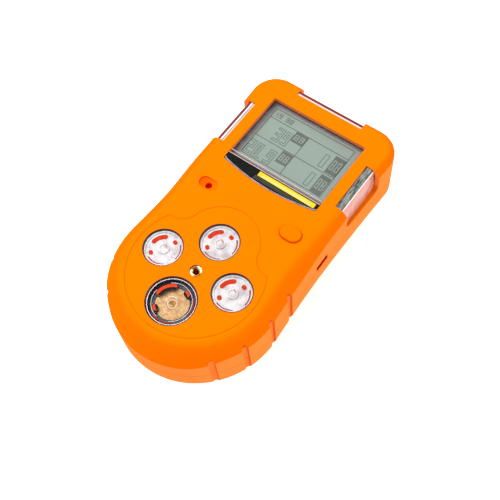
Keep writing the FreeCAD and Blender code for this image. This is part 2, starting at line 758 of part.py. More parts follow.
def make_display_lens():
    lens = opening_prism(-0.1, LENS_BOTTOM_Z, LENS_TOP_Z)
    lens = lens.fuse(opening_prism(LENS_FLANGE, LENS_BOTTOM_Z, LENS_FLANGE_Z))
    lens = lens.common(above(DIVIDER_Y + 0.1))
    w = LENS_HALF_W - 0.1
    ridge = box(-w, w, DIVIDER_Y + 0.1, DIVIDER_TOP_Y, LENS_TOP_Z - 0.1, LENS_TOP_Z + 0.2)
    edges = [e for e in ridge.Edges if e.BoundBox.XLength > 1 and e.BoundBox.ZMin > LENS_TOP_Z]
    return lens.fuse(ridge.makeChamfer(0.15, edges))


def make_label_plate():
    plate = opening_prism(-0.1, LENS_BOTTOM_Z, LENS_TOP_Z)
    plate = plate.fuse(opening_prism(LENS_FLANGE, LENS_BOTTOM_Z, LENS_FLANGE_Z))
    return plate.cut(above(DIVIDER_Y))


def make_label_trim():
    """Thin bright line along the bowed lower edge."""
    rim = opening_prism(-TRIM_INSET, LENS_TOP_Z, LENS_TOP_Z + 0.2)
    rim = rim.cut(opening_prism(-TRIM_INSET - TRIM_W, -5, 5))
    return rim.cut(above(LENS_CORNER_Y + 1.2))


def make_label_stripe():
    return box(*STRIPE, LENS_TOP_Z, LENS_TOP_Z + 0.12)


def rectangle(half_w, y0, y1, z):
    """Closed level wire, the same on both sides of x = 0."""
    corners = [V(-half_w, y0, z), V(half_w, y0, z), V(half_w, y1, z), V(-half_w, y1, z)]
    return Part.makePolygon(corners + [corners[0]])


def make_lcd_bezel():
    """Frame round the display with walls that slope in from the window to the glass."""
    z1 = LENS_BOTTOM_Z - 0.05
    z0 = LCD_Z + 0.05
    frame = box(-LENS_HALF_W - 1.2, LENS_HALF_W + 1.2, 49.4, LENS_TOP_Y + 1.2, z0, z1)
    low = rectangle(LCD_HALF_W, LCD_FROM_Y, LCD_TO_Y, z0)
    top = rectangle(LENS_HALF_W, DIVIDER_TOP_Y - 0.6, LENS_TOP_Y, z1)
    return frame.cut(Part.makeLoft([low, top], True, True))


def make_lcd_glass():
    return box(-21.8, 21.8, 51.0, 83.6, LCD_Z - LCD_T, LCD_Z)


def make_backlight_panel():
    top = LCD_Z - LCD_T - 0.1
    return box(-21.2, 21.2, 51.5, 83.2, top - BACKLIGHT_T, top)


def make_lcd_ribbon():
    z0 = LCD_Z - LCD_T / 2
    return strip([(50.95, z0), (46.5, z0), (46.5, -8.85), (42.0, -8.85)], 1.2, 0.2, -12, 12)


# ---------------------------------------------------------------- alarm lights

def make_side_window(sign):
    """Clear L-shaped light window: a flat top, a round edge and a side that runs down to the sill."""
    y0 = WINDOW_FROM_Y + WINDOW_GAP
    y1 = WINDOW_TO_Y - WINDOW_GAP
    out = WINDOW_OUT_X
    inner = WINDOW_INNER_X + WINDOW_GAP
    skin = WINDOW_SKIN
    sill = SIDE_SILL_Z + WINDOW_GAP
    section = [(inner, sill), (WINDOW_FOOT_X, sill), (out, WINDOW_TOP_Z), (inner, WINDOW_TOP_Z), (inner, sill)]
    wire = Part.makePolygon([V(x, y0, z) for x, z in section])
    bar = Part.Face(wire).extrude(V(0, y1 - y0, 0))
    edge = [e for e in bar.Edges if e.BoundBox.XMin > out - 0.01 and e.BoundBox.ZMin > -1]
    bar = bar.makeFillet(WINDOW_EDGE_R, edge)
    low = [e for e in bar.Edges if e.BoundBox.XLength > 1 and e.BoundBox.ZMax < sill + 1]
    bar = bar.makeFillet(SILL_CORNER_R - WINDOW_GAP, low)
    pocket = box(inner - 1, out - skin, y0 + 1, y1 - 1, -20, WINDOW_TOP_Z - skin)
    bar = bar.cut(pocket)
    lap = WINDOW_PLATE_LAP
    plate = box(out - skin, out, y0 - lap, y1 + lap, SIDE_SILL_Z - 1.5, WINDOW_PLATE_TOP_Z)
    bar = bar.fuse(plate)
    return bar if sign > 0 else mirrored(bar)


def make_top_window():
    w = TOP_WINDOW_HALF_W - WINDOW_GAP
    out = TOP_WINDOW_OUT_Y
    inner = TOP_WINDOW_INNER_Y + WINDOW_GAP
    skin = TOP_WINDOW_SKIN
    bar = box(-w, w, inner, out, TOP_SILL_Z + WINDOW_GAP, WINDOW_TOP_Z)
    edge = [e for e in bar.Edges if e.BoundBox.YMin > out - 0.01 and e.BoundBox.ZMin > -1]
    bar = bar.makeFillet(TOP_WINDOW_EDGE_R, edge)
    low = [e for e in bar.Edges if e.BoundBox.YLength > 1 and e.BoundBox.ZMax < TOP_SILL_Z + 1]
    bar = bar.makeFillet(SILL_CORNER_R - WINDOW_GAP, low)
    bar = bar.cut(box(-w + 1, w - 1, inner - 1, out - skin, -20, WINDOW_TOP_Z - skin))
    lap = WINDOW_PLATE_LAP
    return bar.fuse(box(-w - lap, w + lap, out - skin, out, TOP_SILL_Z - 1.5, WINDOW_PLATE_TOP_Z))


def make_alarm_leds():
    z0 = MAIN_PCB_TOP_Z
    leds = []
    for y in (58.0, 65.0, 72.0):
        leds.append(box(22.8, 25.0, y - 1.5, y + 1.5, z0, z0 + 1.4))
        leds.append(box(-25.0, -22.8, y - 1.5, y + 1.5, z0, z0 + 1.4))
    for x in (-9.0, 0.0, 9.0):
        leds.append(box(x - 1.5, x + 1.5, 84.4, 86.6, z0, z0 + 1.4))
    return Part.makeCompound(leds)


# ---------------------------------------------------------------- boards and electronics

def make_main_pcb():
    z1 = MAIN_PCB_TOP_Z
    z0 = z1 - PCB_T
    wide = box(-25.5, 25.5, 27.5, 80.0, z0, z1)
    narrow = box(-21.5, 21.5, 79.0, 87.2, z0, z1)
    return soften_uprights(wide.fuse(narrow).removeSplitter(), 0.8)


def make_board_chips():
    """Chips on the underside of the main board, over the battery."""
    z1 = MAIN_PCB_TOP_Z - PCB_T
    chips = []
    for x, length, y, width, height in CHIPS:
        chips.append(box(x - length / 2, x + length / 2, y - width / 2, y + width / 2, z1 - height, z1))
    return Part.makeCompound(chips)


def make_board_flex():
    z_main = MAIN_PCB_TOP_Z - PCB_T - 0.2
    z_sensor = SENSOR_PCB_TOP_Z + 0.2
    return strip([(31.5, z_main), (28.0, z_main), (28.0, z_sensor), (20.0, z_sensor)], 1.6, 0.25, 2, 14)


def make_battery_pack():
    pack = box(*BATTERY)
    edges = [e for e in pack.Edges if e.BoundBox.YLength > 1]
    return pack.makeFillet(2.5, edges)


def make_battery_foam():
    return box(-15.0, 15.0, 36.0, 80.0, -BODY_DEPTH + 3.05, BATTERY[4] - 0.05)


def make_battery_lead():
    """Two wires from the end of the pack, round to the plug beside it."""
    wires = []
    for shift in (-0.7, 0.7):
        points = [
            V(-11.5 + shift, BATTERY[2], LEAD_Z),
            V(-11.5 + shift, 28.4 - shift, LEAD_Z),
            V(PLUG_X - shift, 28.4 - shift, LEAD_Z),
            V(PLUG_X - shift, 39.0, LEAD_Z),
        ]
        wires.append(tube(points, 3.4 + shift, LEAD_R))
    return Part.makeCompound(wires)


def make_battery_plug():
    plug = box(PLUG_X - 2.6, PLUG_X + 2.6, 39.0, 45.0, -16.6, MAIN_PCB_TOP_Z - PCB_T)
    return soften_uprights(plug, 0.4)


def make_buzzer():
    can = disc(SOUNDER_X, SOUNDER_Y, 6.0, MAIN_PCB_TOP_Z, -3.4)
    rim = [e for e in can.Edges if e.BoundBox.ZMin > -3.5]
    can = can.makeFillet(0.5, rim)
    return can.cut(disc(SOUNDER_X, SOUNDER_Y, 1.3, -5.0, 0))


def make_buzzer_mesh():
    return disc(SOUNDER_X + 0.5, SOUNDER_Y - 0.4, 3.0, -2.5, -ROOF - 0.05)


def make_switch_body():
    body = box(KEY_X - 3, KEY_X + 3, KEY_Y - 3, KEY_Y + 3, MAIN_PCB_TOP_Z, -5.6)
    body = soften_uprights(body, 0.4)
    return body.cut(disc(KEY_X, KEY_Y, 1.8, -8.7, 0))


def make_switch_plunger():
    plunger = disc(KEY_X, KEY_Y, 1.72, -7.6, -4.7)
    rim = [e for e in plunger.Edges if e.BoundBox.ZMin > -4.8]
    return plunger.makeFillet(0.3, rim)


def make_power_key():
    cap = prism(obround(KEY_X, KEY_Y, KEY_LENGTH, KEY_WIDTH), -3.0, KEY_PROUD)
    rim = [e for e in cap.Edges if e.BoundBox.ZMin > KEY_PROUD - 0.01]
    cap = cap.makeFillet(0.55, rim)
    flange = prism(obround(KEY_X, KEY_Y, KEY_LENGTH + 1.6, KEY_WIDTH + 1.6), -3.1, -ROOF - 0.3)
    stem = disc(KEY_X, KEY_Y, 2.2, -4.7, -3.0)
    return cap.fuse([flange, stem])


def make_ir_window():
    return box(29.7, 30.9, SLOT_FROM_Y - 1.2, SLOT_TO_Y + 1.2, SLOT_FROM_Z - 0.7, SLOT_TO_Z + 1.2)


def make_ir_transceiver():
    body = box(21.5, 25.4, 33.0, 39.5, SLOT_FROM_Z, MAIN_PCB_TOP_Z - PCB_T)
    edges = [e for e in body.Edges if e.BoundBox.YLength > 1 and e.BoundBox.XMin > 25.3]
    return body.makeFillet(1.2, edges)


def y_rod(x, z, r, y0, y1):
    return Part.makeCylinder(r, y1 - y0, V(x, y0, z), V(0, 1, 0))


def make_vibration_motor():
    can = y_rod(MOTOR_X, MOTOR_Z, MOTOR_R, MOTOR_FROM_Y, MOTOR_TO_Y)
    can = can.makeFillet(0.5, [e for e in can.Edges if e.BoundBox.YLength < 0.1])
    return can.cut(y_rod(MOTOR_X, MOTOR_Z, MOTOR_SHAFT_R + 0.05, MOTOR_FROM_Y + 4, MOTOR_TO_Y + 1))


def make_motor_shaft():
    return y_rod(MOTOR_X, MOTOR_Z, MOTOR_SHAFT_R, MOTOR_FROM_Y + 4.3, MOTOR_TO_Y + 5.5)


def make_motor_weight():
    """Half-round weight on the motor's shaft."""
    y0 = MOTOR_TO_Y + 0.8
    y1 = y0 + 4.0
    weight = y_rod(MOTOR_X, MOTOR_Z, 3.1, y0, y1)
    weight = weight.cut(box(MOTOR_X - 5, MOTOR_X + 5, y0 - 1, y1 + 1, MOTOR_Z, MOTOR_Z + 5))
    weight = weight.fuse(y_rod(MOTOR_X, MOTOR_Z, 1.2, y0, y1))
    return weight.cut(y_rod(MOTOR_X, MOTOR_Z, MOTOR_SHAFT_R, y0 - 1, y1 + 1))


def make_charge_contacts():
    pins = []
    for x in CONTACT_XS:
        pin = disc(x, CONTACT_Y, CONTACT_R, -BODY_DEPTH + 0.1, -BODY_DEPTH + FLOOR)
        head = disc(x, CONTACT_Y, CONTACT_HEAD_R, -BODY_DEPTH + FLOOR, -BODY_DEPTH + FLOOR + 0.8)
        pins.append(pin.fuse(head))
    return Part.makeCompound(pins)


# ---------------------------------------------------------------- belt clip

def x_rod(y, z, r, x0, x1):
    return Part.makeCylinder(r, x1 - x0, V(x0, y, z), V(1, 0, 0))


def make_clip_bracket():
    z0 = -BODY_DEPTH - CLIP_PLATE_T
    plate = soften_uprights(box(-CLIP_HALF_W, CLIP_HALF_W, 2, 64, z0, -BODY_DEPTH), 3.0)
    ears = []
    for x0 in (EAR_FROM_X, -EAR_FROM_X - CLIP_EAR_T):
        x1 = x0 + CLIP_EAR_T
        round_end = x_rod(CLIP_PIVOT_Y, CLIP_PIVOT_Z, BARREL_R, x0, x1)
        web = box(x0, x1, CLIP_PIVOT_Y - BARREL_R, CLIP_PIVOT_Y + BARREL_R, CLIP_PIVOT_Z, z0 + 0.5)
        ears += [round_end, web]
    bracket = plate.fuse(ears)
    holes = [x_rod(CLIP_PIVOT_Y, CLIP_PIVOT_Z, CLIP_PIN_R, -20, 20)]
    for y in CLIP_SCREW_YS:
        holes.append(disc(0, y, SCREW_R + 0.1, -40, 0))
        holes.append(Part.makeCone(2.5, SCREW_R + 0.1, 1.25, V(0, y, z0)))
    return bracket.cut(holes)


def make_clip_arm():
    """Sprung arm: thumb tab, flat back, and a jaw that curls in to the bracket."""
    half_t = CLIP_ARM_T / 2
    back_z = -FACE_Z + half_t
    jaw_z = -BODY_DEPTH - 3.0
    path = [(72.0, back_z + 4.0), (60.0, back_z), (8.5, back_z), (2.5, back_z + 4.5), (5.5, jaw_z)]
    arm = strip(path, 3.2, CLIP_ARM_T, -CLIP_HALF_W, CLIP_HALF_W)
    blocks = []
    for x0 in (BARREL_FROM_X, -BARREL_TO_X):
        x1 = x0 + BARREL_TO_X - BARREL_FROM_X
        blocks.append(x_rod(CLIP_PIVOT_Y, CLIP_PIVOT_Z, BARREL_R, x0, x1))
        blocks.append(box(x0, x1, CLIP_PIVOT_Y - BARREL_R, CLIP_PIVOT_Y + BARREL_R, back_z, CLIP_PIVOT_Z))
    arm = arm.fuse(blocks)
    ribs = []
    for x in (-7.5, 0.0, 7.5):
        ribs.append(box(x - 0.6, x + 0.6, 12, 44, back_z, back_z + half_t + 0.8))
    arm = arm.fuse(ribs)
    return arm.cut(x_rod(CLIP_PIVOT_Y, CLIP_PIVOT_Z, CLIP_PIN_R + CLIP_PIN_GAP, -20, 20))


def make_clip_pin():
    pin = x_rod(CLIP_PIVOT_Y, CLIP_PIVOT_Z, CLIP_PIN_R - 0.01, -CLIP_HALF_W - 0.4, CLIP_HALF_W + 0.4)
    ends = [e for e in pin.Edges if e.BoundBox.XLength < 0.1]
    return pin.makeChamfer(0.3, ends)


def make_clip_spring():
    """Torsion spring round the pin, one leg on the bracket and one on the arm."""
    length = SPRING_PITCH * SPRING_TURNS
    helix = Part.makeHelix(SPRING_PITCH, length, SPRING_R)
    ring = Part.Wire(Part.makeCircle(SPRING_WIRE_R, V(SPRING_R, 0, 0), V(0, 1, 0)))
    coil = helix.makePipeShell([ring], True, True)
    legs = []
    for z, side, leg in ((0.0, -1, SPRING_ARM_LEG), (length, 1, SPRING_BRACKET_LEG)):
        lean = V(0.35, side, 0).normalize()
        root = V(SPRING_R, 0, z) - lean * 0.3
        legs.append(Part.makeCylinder(SPRING_WIRE_R, leg, root, lean))
    spring = coil.fuse(legs)
    spring.rotate(V(0, 0, 0), V(0, 1, 0), 90)
    spring.rotate(V(0, 0, 0), V(1, 0, 0), 90)
    spring.translate(V(-length / 2, CLIP_PIVOT_Y, CLIP_PIVOT_Z))
    return spring


def make_clip_screws():
    z0 = -BODY_DEPTH - CLIP_PLATE_T
    screws = []
    for y in CLIP_SCREW_YS:
        shank = disc(0, y, SCREW_R - 0.03, z0, -BODY_DEPTH + 3.0)
        head = Part.makeCone(2.4, SCREW_R - 0.03, 1.2, V(0, y, z0 + 0.05))
        slot_a = box(-1.4, 1.4, y - 0.25, y + 0.25, z0 - 1, z0 + 0.75)
        slot_b = box(-0.25, 0.25, y - 1.4, y + 1.4, z0 - 1, z0 + 0.75)
        screws.append(shank.fuse(head).cut([slot_a, slot_b]))
    return Part.makeCompound(screws)


# ---------------------------------------------------------------- write the pieces

save("front_shell", make_front_shell())
save("rear_shell", make_rear_shell())
save("shell_gasket", make_shell_gasket())
save("case_screws", make_case_screws())
save("rear_label", make_rear_label())
for side, (port_x, port_y, port_r) in PORTS.items():
    save("port_cover_" + side, make_port_cover(port_x, port_y, port_r))
    save("port_gasket_" + side, make_port_gasket(port_x, port_y, port_r))
    save(FILTER_NAMES[side], make_filter(port_x, port_y, port_r))
    save(SENSOR_NAMES[side], make_sensor(port_x, port_y))
save("sensor_sockets", make_sensor_sockets())
save("sensor_pcb", make_sensor_pcb())
save("brass_insert", make_brass_insert())
save("display_lens", make_display_lens())
save("label_plate", make_label_plate())
save("label_trim", make_label_trim())
save("label_stripe", make_label_stripe())
save("lcd_bezel", make_lcd_bezel())
save("lcd_glass", make_lcd_glass())
save("backlight_panel", make_backlight_panel())
save("lcd_ribbon", make_lcd_ribbon())
save("alarm_window_right", make_side_window(1))
save("alarm_window_left", make_side_window(-1))
save("alarm_window_top", make_top_window())
save("alarm_leds", make_alarm_leds())
save("main_pcb", make_main_pcb())
save("board_chips", make_board_chips())
save("board_flex", make_board_flex())
save("battery_pack", make_battery_pack())
save("battery_foam", make_battery_foam())
save("battery_lead", make_battery_lead())
save("battery_plug", make_battery_plug())
save("buzzer", make_buzzer())
save("buzzer_mesh", make_buzzer_mesh())
save("switch_body", make_switch_body())
save("switch_plunger", make_switch_plunger())
save("power_button", make_power_key())
save("ir_window", make_ir_window())
save("ir_transceiver", make_ir_transceiver())
save("vibration_motor", make_vibration_motor())
save("motor_shaft", make_motor_shaft())
save("motor_weight", make_motor_weight())
save("charge_contacts", make_charge_contacts())
save("clip_bracket", make_clip_bracket())
save("clip_arm", make_clip_arm())
save("clip_pin", make_clip_pin())
save("clip_spring", make_clip_spring())
save("clip_screws", make_clip_screws())
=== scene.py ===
import math
import bmesh
import bpy
from mathutils import Matrix, Vector


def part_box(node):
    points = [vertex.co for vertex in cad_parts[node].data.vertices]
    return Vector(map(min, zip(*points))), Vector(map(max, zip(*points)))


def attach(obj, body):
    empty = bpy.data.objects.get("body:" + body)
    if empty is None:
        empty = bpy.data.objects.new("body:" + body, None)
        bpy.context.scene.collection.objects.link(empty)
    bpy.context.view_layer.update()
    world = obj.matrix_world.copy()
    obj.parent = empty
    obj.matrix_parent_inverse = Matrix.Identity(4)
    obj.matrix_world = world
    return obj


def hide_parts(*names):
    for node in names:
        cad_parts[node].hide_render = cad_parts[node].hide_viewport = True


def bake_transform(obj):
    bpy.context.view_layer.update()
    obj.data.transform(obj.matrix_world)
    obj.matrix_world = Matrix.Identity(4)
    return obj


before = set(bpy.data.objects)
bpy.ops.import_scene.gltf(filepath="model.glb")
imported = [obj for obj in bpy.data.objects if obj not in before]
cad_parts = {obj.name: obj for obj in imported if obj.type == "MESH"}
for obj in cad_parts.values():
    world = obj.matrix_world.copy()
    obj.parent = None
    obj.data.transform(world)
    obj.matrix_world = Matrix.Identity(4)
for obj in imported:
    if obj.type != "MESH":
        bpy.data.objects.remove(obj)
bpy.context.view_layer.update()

MM = 0.001

# Portable four-gas detector lying face up on its belt clip, screen end away from the camera.
# Print and strokes are drawn in millimetres from the brass insert: x right, y towards the
# screen, z out of the flat front face.
insert_low, insert_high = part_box("brass_insert")
face_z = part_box("front_shell")[1].z
HUB = Vector(((insert_low.x + insert_high.x) / 2, (insert_low.y + insert_high.y) / 2, face_z))
LCD_Z = (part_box("lcd_glass")[1].z - HUB.z) / MM
LENS_Z = (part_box("display_lens")[1].z - HUB.z) / MM
PLATE_Z = (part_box("label_plate")[1].z - HUB.z) / MM
STRIPE_Z = (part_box("label_stripe")[1].z - HUB.z) / MM


# ---------------------------------------------------------------- camera, floor and light

CAMERA_PLACE = HUB + Vector((0.11133, -0.08793, 0.28323))
CAMERA_AIM = HUB + Vector((0.01164, 0.01893, 0.0))
CAMERA_ROLL_DEG = -7.356
CAMERA_LENS_MM = 59.954


def add_camera():
    data = bpy.data.cameras.new("camera")
    data.lens = CAMERA_LENS_MM
    data.sensor_width = 36.0
    data.clip_start = 0.01
    data.clip_end = 20.0
    camera = bpy.data.objects.new("camera", data)
    bpy.context.collection.objects.link(camera)
    looking = (CAMERA_AIM - CAMERA_PLACE).to_track_quat("-Z", "Y").to_matrix()
    roll = Matrix.Rotation(math.radians(CAMERA_ROLL_DEG), 3, "Z")
    camera.matrix_world = Matrix.Translation(CAMERA_PLACE) @ (looking @ roll).to_4x4()
    bpy.context.scene.camera = camera


# Name, place, aim and two sides in metres, and power in watts
AREA_LIGHTS = (
    ("key", (-0.5, -0.05, 0.88), (0, 0, 0.03), (0.55, 0.55), 8.4),
    ("fill", (0.6, 0.35, 0.35), (0.03, 0.03, 0.03), (0.4, 0.4), 1.5),
)
WORLD_STRENGTH = 0.65


def add_area_light(name, place, aim, size, watts):
    data = bpy.data.lights.new(name, "AREA")
    data.shape = "RECTANGLE"
    data.size, data.size_y = size
    data.energy = watts
    light = bpy.data.objects.new(name, data)
    bpy.context.collection.objects.link(light)
    light.location = place
    light.rotation_euler = (Vector(aim) - Vector(place)).to_track_quat("-Z", "Y").to_euler()


def add_world():
    world = bpy.data.worlds.new("studio")
    world.use_nodes = True
    background = world.node_tree.nodes["Background"]
    background.inputs["Color"].default_value = (1.0, 1.0, 1.0, 1.0)
    background.inputs["Strength"].default_value = WORLD_STRENGTH
    bpy.context.scene.world = world


# ---------------------------------------------------------------- finishes

FACE_LIGHT = 1.4        # light on a level face, as a multiple of what shows a base colour as it is
MIX_FIRST, MIX_SECOND, MIX_RESULT = 6, 7, 2     # a Mix node's colour sockets


def linear(r, g, b):
    """Linear RGBA of an sRGB colour given as 0 to 255."""
    def channel(value):
        value /= 255
        return value / 12.92 if value <= 0.04045 else ((value + 0.055) / 1.055) ** 2.4
    return (channel(r), channel(g), channel(b), 1.0)


def shown(r, g, b):
    """Base colour that a level face under this light shows as the sRGB colour."""
    red, green, blue, alpha = linear(r, g, b)
    return (red / FACE_LIGHT, green / FACE_LIGHT, blue / FACE_LIGHT, alpha)


class Finish:
    """One procedural material, painted in the part's own coordinates in metres."""

    def __init__(self, name, **sockets):
        self.material = bpy.data.materials.new(name)
        self.material.use_nodes = True
        self.tree = self.material.node_tree
        self.shader = self.tree.nodes["Principled BSDF"]
        self.output = self.tree.nodes["Material Output"]
        self.place = self.tree.nodes.new("ShaderNodeTexCoord").outputs["Object"]
        for socket, value in sockets.items():
            self.shader.inputs[socket.replace("_", " ")].default_value = value

    def node(self, kind, inputs=None, **settings):
        made = self.tree.nodes.new(kind)
        for name, value in settings.items():
            setattr(made, name, value)
        for name, value in (inputs or {}).items():
            if isinstance(value, bpy.types.NodeSocket):
                self.tree.links.new(value, made.inputs[name])
            else:
                made.inputs[name].default_value = value
        return made

    def scaled(self, stretch):
        return self.node("ShaderNodeMapping", {"Vector": self.place, "Scale": stretch}).outputs[0]

    def noise(self, size_mm, detail=2.0, stretch=None):
        where = self.scaled(stretch) if stretch else self.place
        values = {"Vector": where, "Scale": 1 / (size_mm * MM), "Detail": detail}
        return self.node("ShaderNodeTexNoise", values).outputs["Fac"]

    def cells(self, size_mm, feature="F1"):
        values = {"Vector": self.place, "Scale": 1 / (size_mm * MM)}
        return self.node("ShaderNodeTexVoronoi", values, feature=feature).outputs["Distance"]

    def axis(self, letter):
        return self.node("ShaderNodeSeparateXYZ", {0: self.place}).outputs[letter]

    def facing(self, letter):
        normal = self.node("ShaderNodeNewGeometry").outputs["Normal"]
        return self.node("ShaderNodeSeparateXYZ", {0: normal}).outputs[letter]

    def math(self, operation, *values):
        return self.node("ShaderNodeMath", dict(enumerate(values)), operation=operation).outputs[0]

    def both(self, first, second):
        return self.math("MULTIPLY", first, second)

    def within(self, source, middle, half):
        """1 where the source is less than half away from the middle, and 0 elsewhere."""
        away = self.math("ABSOLUTE", self.math("SUBTRACT", source, middle))
        return self.math("LESS_THAN", away, half)

    def weave(self, pitch_mm, operation):
        """Fine waves across and along the part, combined."""
        turns = 2 * math.pi / (pitch_mm * MM)
        across = self.math("SINE", self.math("MULTIPLY", self.axis("X"), turns))
        along = self.math("SINE", self.math("MULTIPLY", self.axis("Y"), turns))
        return self.math(operation, across, along)

    def vector_math(self, operation, *values):
        return self.node("ShaderNodeVectorMath", dict(enumerate(values)), operation=operation)

    def reach(self, centre):
        """Distance in the plane of the face from a point, in metres."""
        flat = self.vector_math("SUBTRACT", self.place, centre).outputs[0]
        flat = self.vector_math("MULTIPLY", flat, (1, 1, 0)).outputs[0]
        return self.vector_math("LENGTH", flat).outputs["Value"]

    def remap(self, source, low, high, to_low=0.0, to_high=1.0):
        values = {"Value": source, "From Min": low, "From Max": high, "To Min": to_low, "To Max": to_high}
        return self.node("ShaderNodeMapRange", values).outputs["Result"]

    def blend(self, factor, first, second):
        made = self.node("ShaderNodeMix", {"Factor": factor}, data_type="RGBA")
        for index, value in ((MIX_FIRST, first), (MIX_SECOND, second)):
            if isinstance(value, bpy.types.NodeSocket):
                self.tree.links.new(value, made.inputs[index])
            else:
                made.inputs[index].default_value = value
        return made.outputs[MIX_RESULT]

    def colour(self, source):
        self.tree.links.new(source, self.shader.inputs["Base Color"])

    def rough(self, source, smooth, rough):
        level = self.remap(source, 0.3, 0.7, smooth, rough)
        self.tree.links.new(level, self.shader.inputs["Roughness"])

    def bump(self, *layers):
        """Each layer is (height 0 to 1, depth in mm)."""
        normal = None
        for height, depth_mm in layers:
            values = {"Height": height, "Distance": depth_mm * MM, "Strength": 1.0}
            if normal:
                values["Normal"] = normal
            normal = self.node("ShaderNodeBump", values).outputs["Normal"]
        self.tree.links.new(normal, self.shader.inputs["Normal"])

    def clear(self, gloss, tint, haze, reflect):
        """Clear plastic: gloss that grows at a slant, tinted sight through it, and a share of haze.

        Returns the glossy shader, so that its normal can be rippled.
        """
        see = self.node("ShaderNodeBsdfTransparent", {"Color": tint})
        veil = self.node("ShaderNodeMixShader", {0: haze, 1: see.outputs[0], 2: self.shader.outputs[0]})
        shine = self.node("ShaderNodeBsdfGlossy", {"Color": (1, 1, 1, 1), "Roughness": gloss})
        slant = self.node("ShaderNodeLayerWeight", {"Blend": 0.5}).outputs["Facing"]
        share = self.math("MULTIPLY_ADD", self.math("POWER", slant, 5.0), 1.0 - reflect, reflect)
        skin = self.node("ShaderNodeMixShader", {0: share, 1: veil.outputs[0], 2: shine.outputs[0]})
        self.tree.links.new(skin.outputs[0], self.output.inputs["Surface"])
        return shine


def middle_of(name):
    low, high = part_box(name)
    return (low + high) / 2


# The housing's colours by how far a face looks up, with painted shade on slopes and painted light on walls:
# from a wall's to a slope's, and to a level face's
WALL_TURN = (0.1, 0.36)
SLOPE_TURN = (0.84, 0.99)
DRIFT_ORANGE = (255, 96, 0)
# Grip grooves: axis in millimetres and the way each one opens; the other side mirrors them
GROOVES = ((35.24, 0.82, 1.5), (32.92, -13.14, -20.4), (25.9, -24.83, -41.5), (34.44, 13.41, 3.5))
GROOVE_REACH_MM = 1.5
GROOVE_EDGE_MM = (0.75, 1.15)   # from the axis along the side, where the far edge's shade grows
GROOVE_TOP_MM = (-6.6, -5.0)    # from the face, where the top's shade grows
GROOVE_EDGE_SHADE = 0.7
# Colour of the painted shade in the grip grooves
GROOVE_SHADE_BROWN = (196, 78, 20)
UPRIGHT = 0.2           # the most that a groove's wall looks up
# The infrared slot in the side, from the insert along the part and in from the face, and the red light
# painted on its walls
SLOT_ALONG_MM = (32.45, 40.05)
SLOT_DEEP_MM = (-16.25, -12.95)
SLOT_RED_LIGHT = (206, 16, 0)
# The sounder's dish: how deep it starts, its reach, and the painted shade from its outer to its inner end
DISH_FROM_MM = 0.4
DISH_REACH_MM = 6.0
DISH_SHADE = (0.95, 0.15)
DISH_SHADE_ORANGE = (240, 90, 0)


def orange_plastic(name, level, sloped, upright):
    """Orange moulding: one colour on level faces, a deeper one of painted shade on slopes, a paler one of
    painted light on upright walls.
    """
    finish = Finish(name, Specular_IOR_Level=0.0)
    drift = finish.remap(finish.noise(14.0, 3.0), 0.35, 0.65, 0.94, 1.0)
    # Painted shade on slopes, then painted light on upright walls, by how far a face looks up
    turned = finish.remap(finish.facing("Z"), *SLOPE_TURN)
    tone = finish.blend(turned, linear(*sloped), linear(*level))
    turned = finish.remap(finish.facing("Z"), *WALL_TURN)
    tone = finish.blend(turned, linear(*upright), tone)
    finish.colour(finish.blend(drift, linear(*DRIFT_ORANGE), tone))
    finish.bump((finish.noise(0.28), 0.004))
    return finish


def key_plastic(name, *tones):
    return orange_plastic(name, *tones).material


def groove_shade(finish):
    """Share of shade at the top and along the far edge of each grip groove."""
    mirrored = finish.vector_math("ABSOLUTE", finish.place).outputs[0]
    across = finish.node("ShaderNodeSeparateXYZ", {0: mirrored}).outputs["X"]
    crest = finish.remap(finish.axis("Z"), *(HUB.z + level * MM for level in GROOVE_TOP_MM))
    edge = [level * MM for level in GROOVE_EDGE_MM]
    reach = GROOVE_REACH_MM * MM
    shade = 0.0
    for x_mm, y_mm, open_deg in GROOVES:
        dx = finish.math("SUBTRACT", across, x_mm * MM)
        dy = finish.math("SUBTRACT", finish.axis("Y"), HUB.y + y_mm * MM)
        cos, sin = math.cos(math.radians(open_deg)), math.sin(math.radians(open_deg))
        outward = finish.math("ADD", finish.math("MULTIPLY", dx, cos), finish.math("MULTIPLY", dy, sin))
        along = finish.math("SUBTRACT", finish.math("MULTIPLY", dy, cos), finish.math("MULTIPLY", dx, sin))
        near = finish.both(finish.within(outward, 0.0, reach), finish.within(along, 0.0, reach))
        mark = finish.math("MAXIMUM", crest, finish.remap(along, *edge, 0.0, GROOVE_EDGE_SHADE))
        shade = finish.math("MAXIMUM", shade, finish.both(near, mark))
    return finish.both(shade, finish.math("LESS_THAN", finish.facing("Z"), UPRIGHT))


def slot_walls(finish):
    """1 on the walls of the infrared slot, which get painted red light from the window behind them."""
    walls = finish.math("GREATER_THAN", finish.axis("X"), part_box("ir_window")[0].x)
    for letter, origin, (start, end) in (("Y", HUB.y, SLOT_ALONG_MM), ("Z", HUB.z, SLOT_DEEP_MM)):
        middle, half = origin + (start + end) / 2 * MM, (end - start) / 2 * MM
        walls = finish.both(walls, finish.within(finish.axis(letter), middle, half))
    return walls


def dish_shade(finish):
    """Share of shade in the sounder's dish, most at its outer end."""
    low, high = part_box("buzzer_mesh")
    beside = finish.math("LESS_THAN", finish.reach(middle_of("buzzer_mesh")), DISH_REACH_MM * MM)
    below = finish.math("LESS_THAN", finish.axis("Z"), HUB.z - DISH_FROM_MM * MM)
    shade = finish.remap(finish.axis("X"), low.x, high.x, *DISH_SHADE)
    return finish.both(finish.both(beside, below), shade)


def shell_plastic(name, *tones):
    """The same moulding, with painted shade in its grip grooves and sounder dish, and painted red light on
    its infrared slot's walls.
    """
    finish = orange_plastic(name, *tones)
    tone = finish.shader.inputs["Base Color"].links[0].from_socket
    tone = finish.blend(groove_shade(finish), tone, linear(*GROOVE_SHADE_BROWN))
    tone = finish.blend(slot_walls(finish), tone, linear(*SLOT_RED_LIGHT))
    finish.colour(finish.blend(dish_shade(finish), tone, linear(*DISH_SHADE_ORANGE)))
    return finish.material


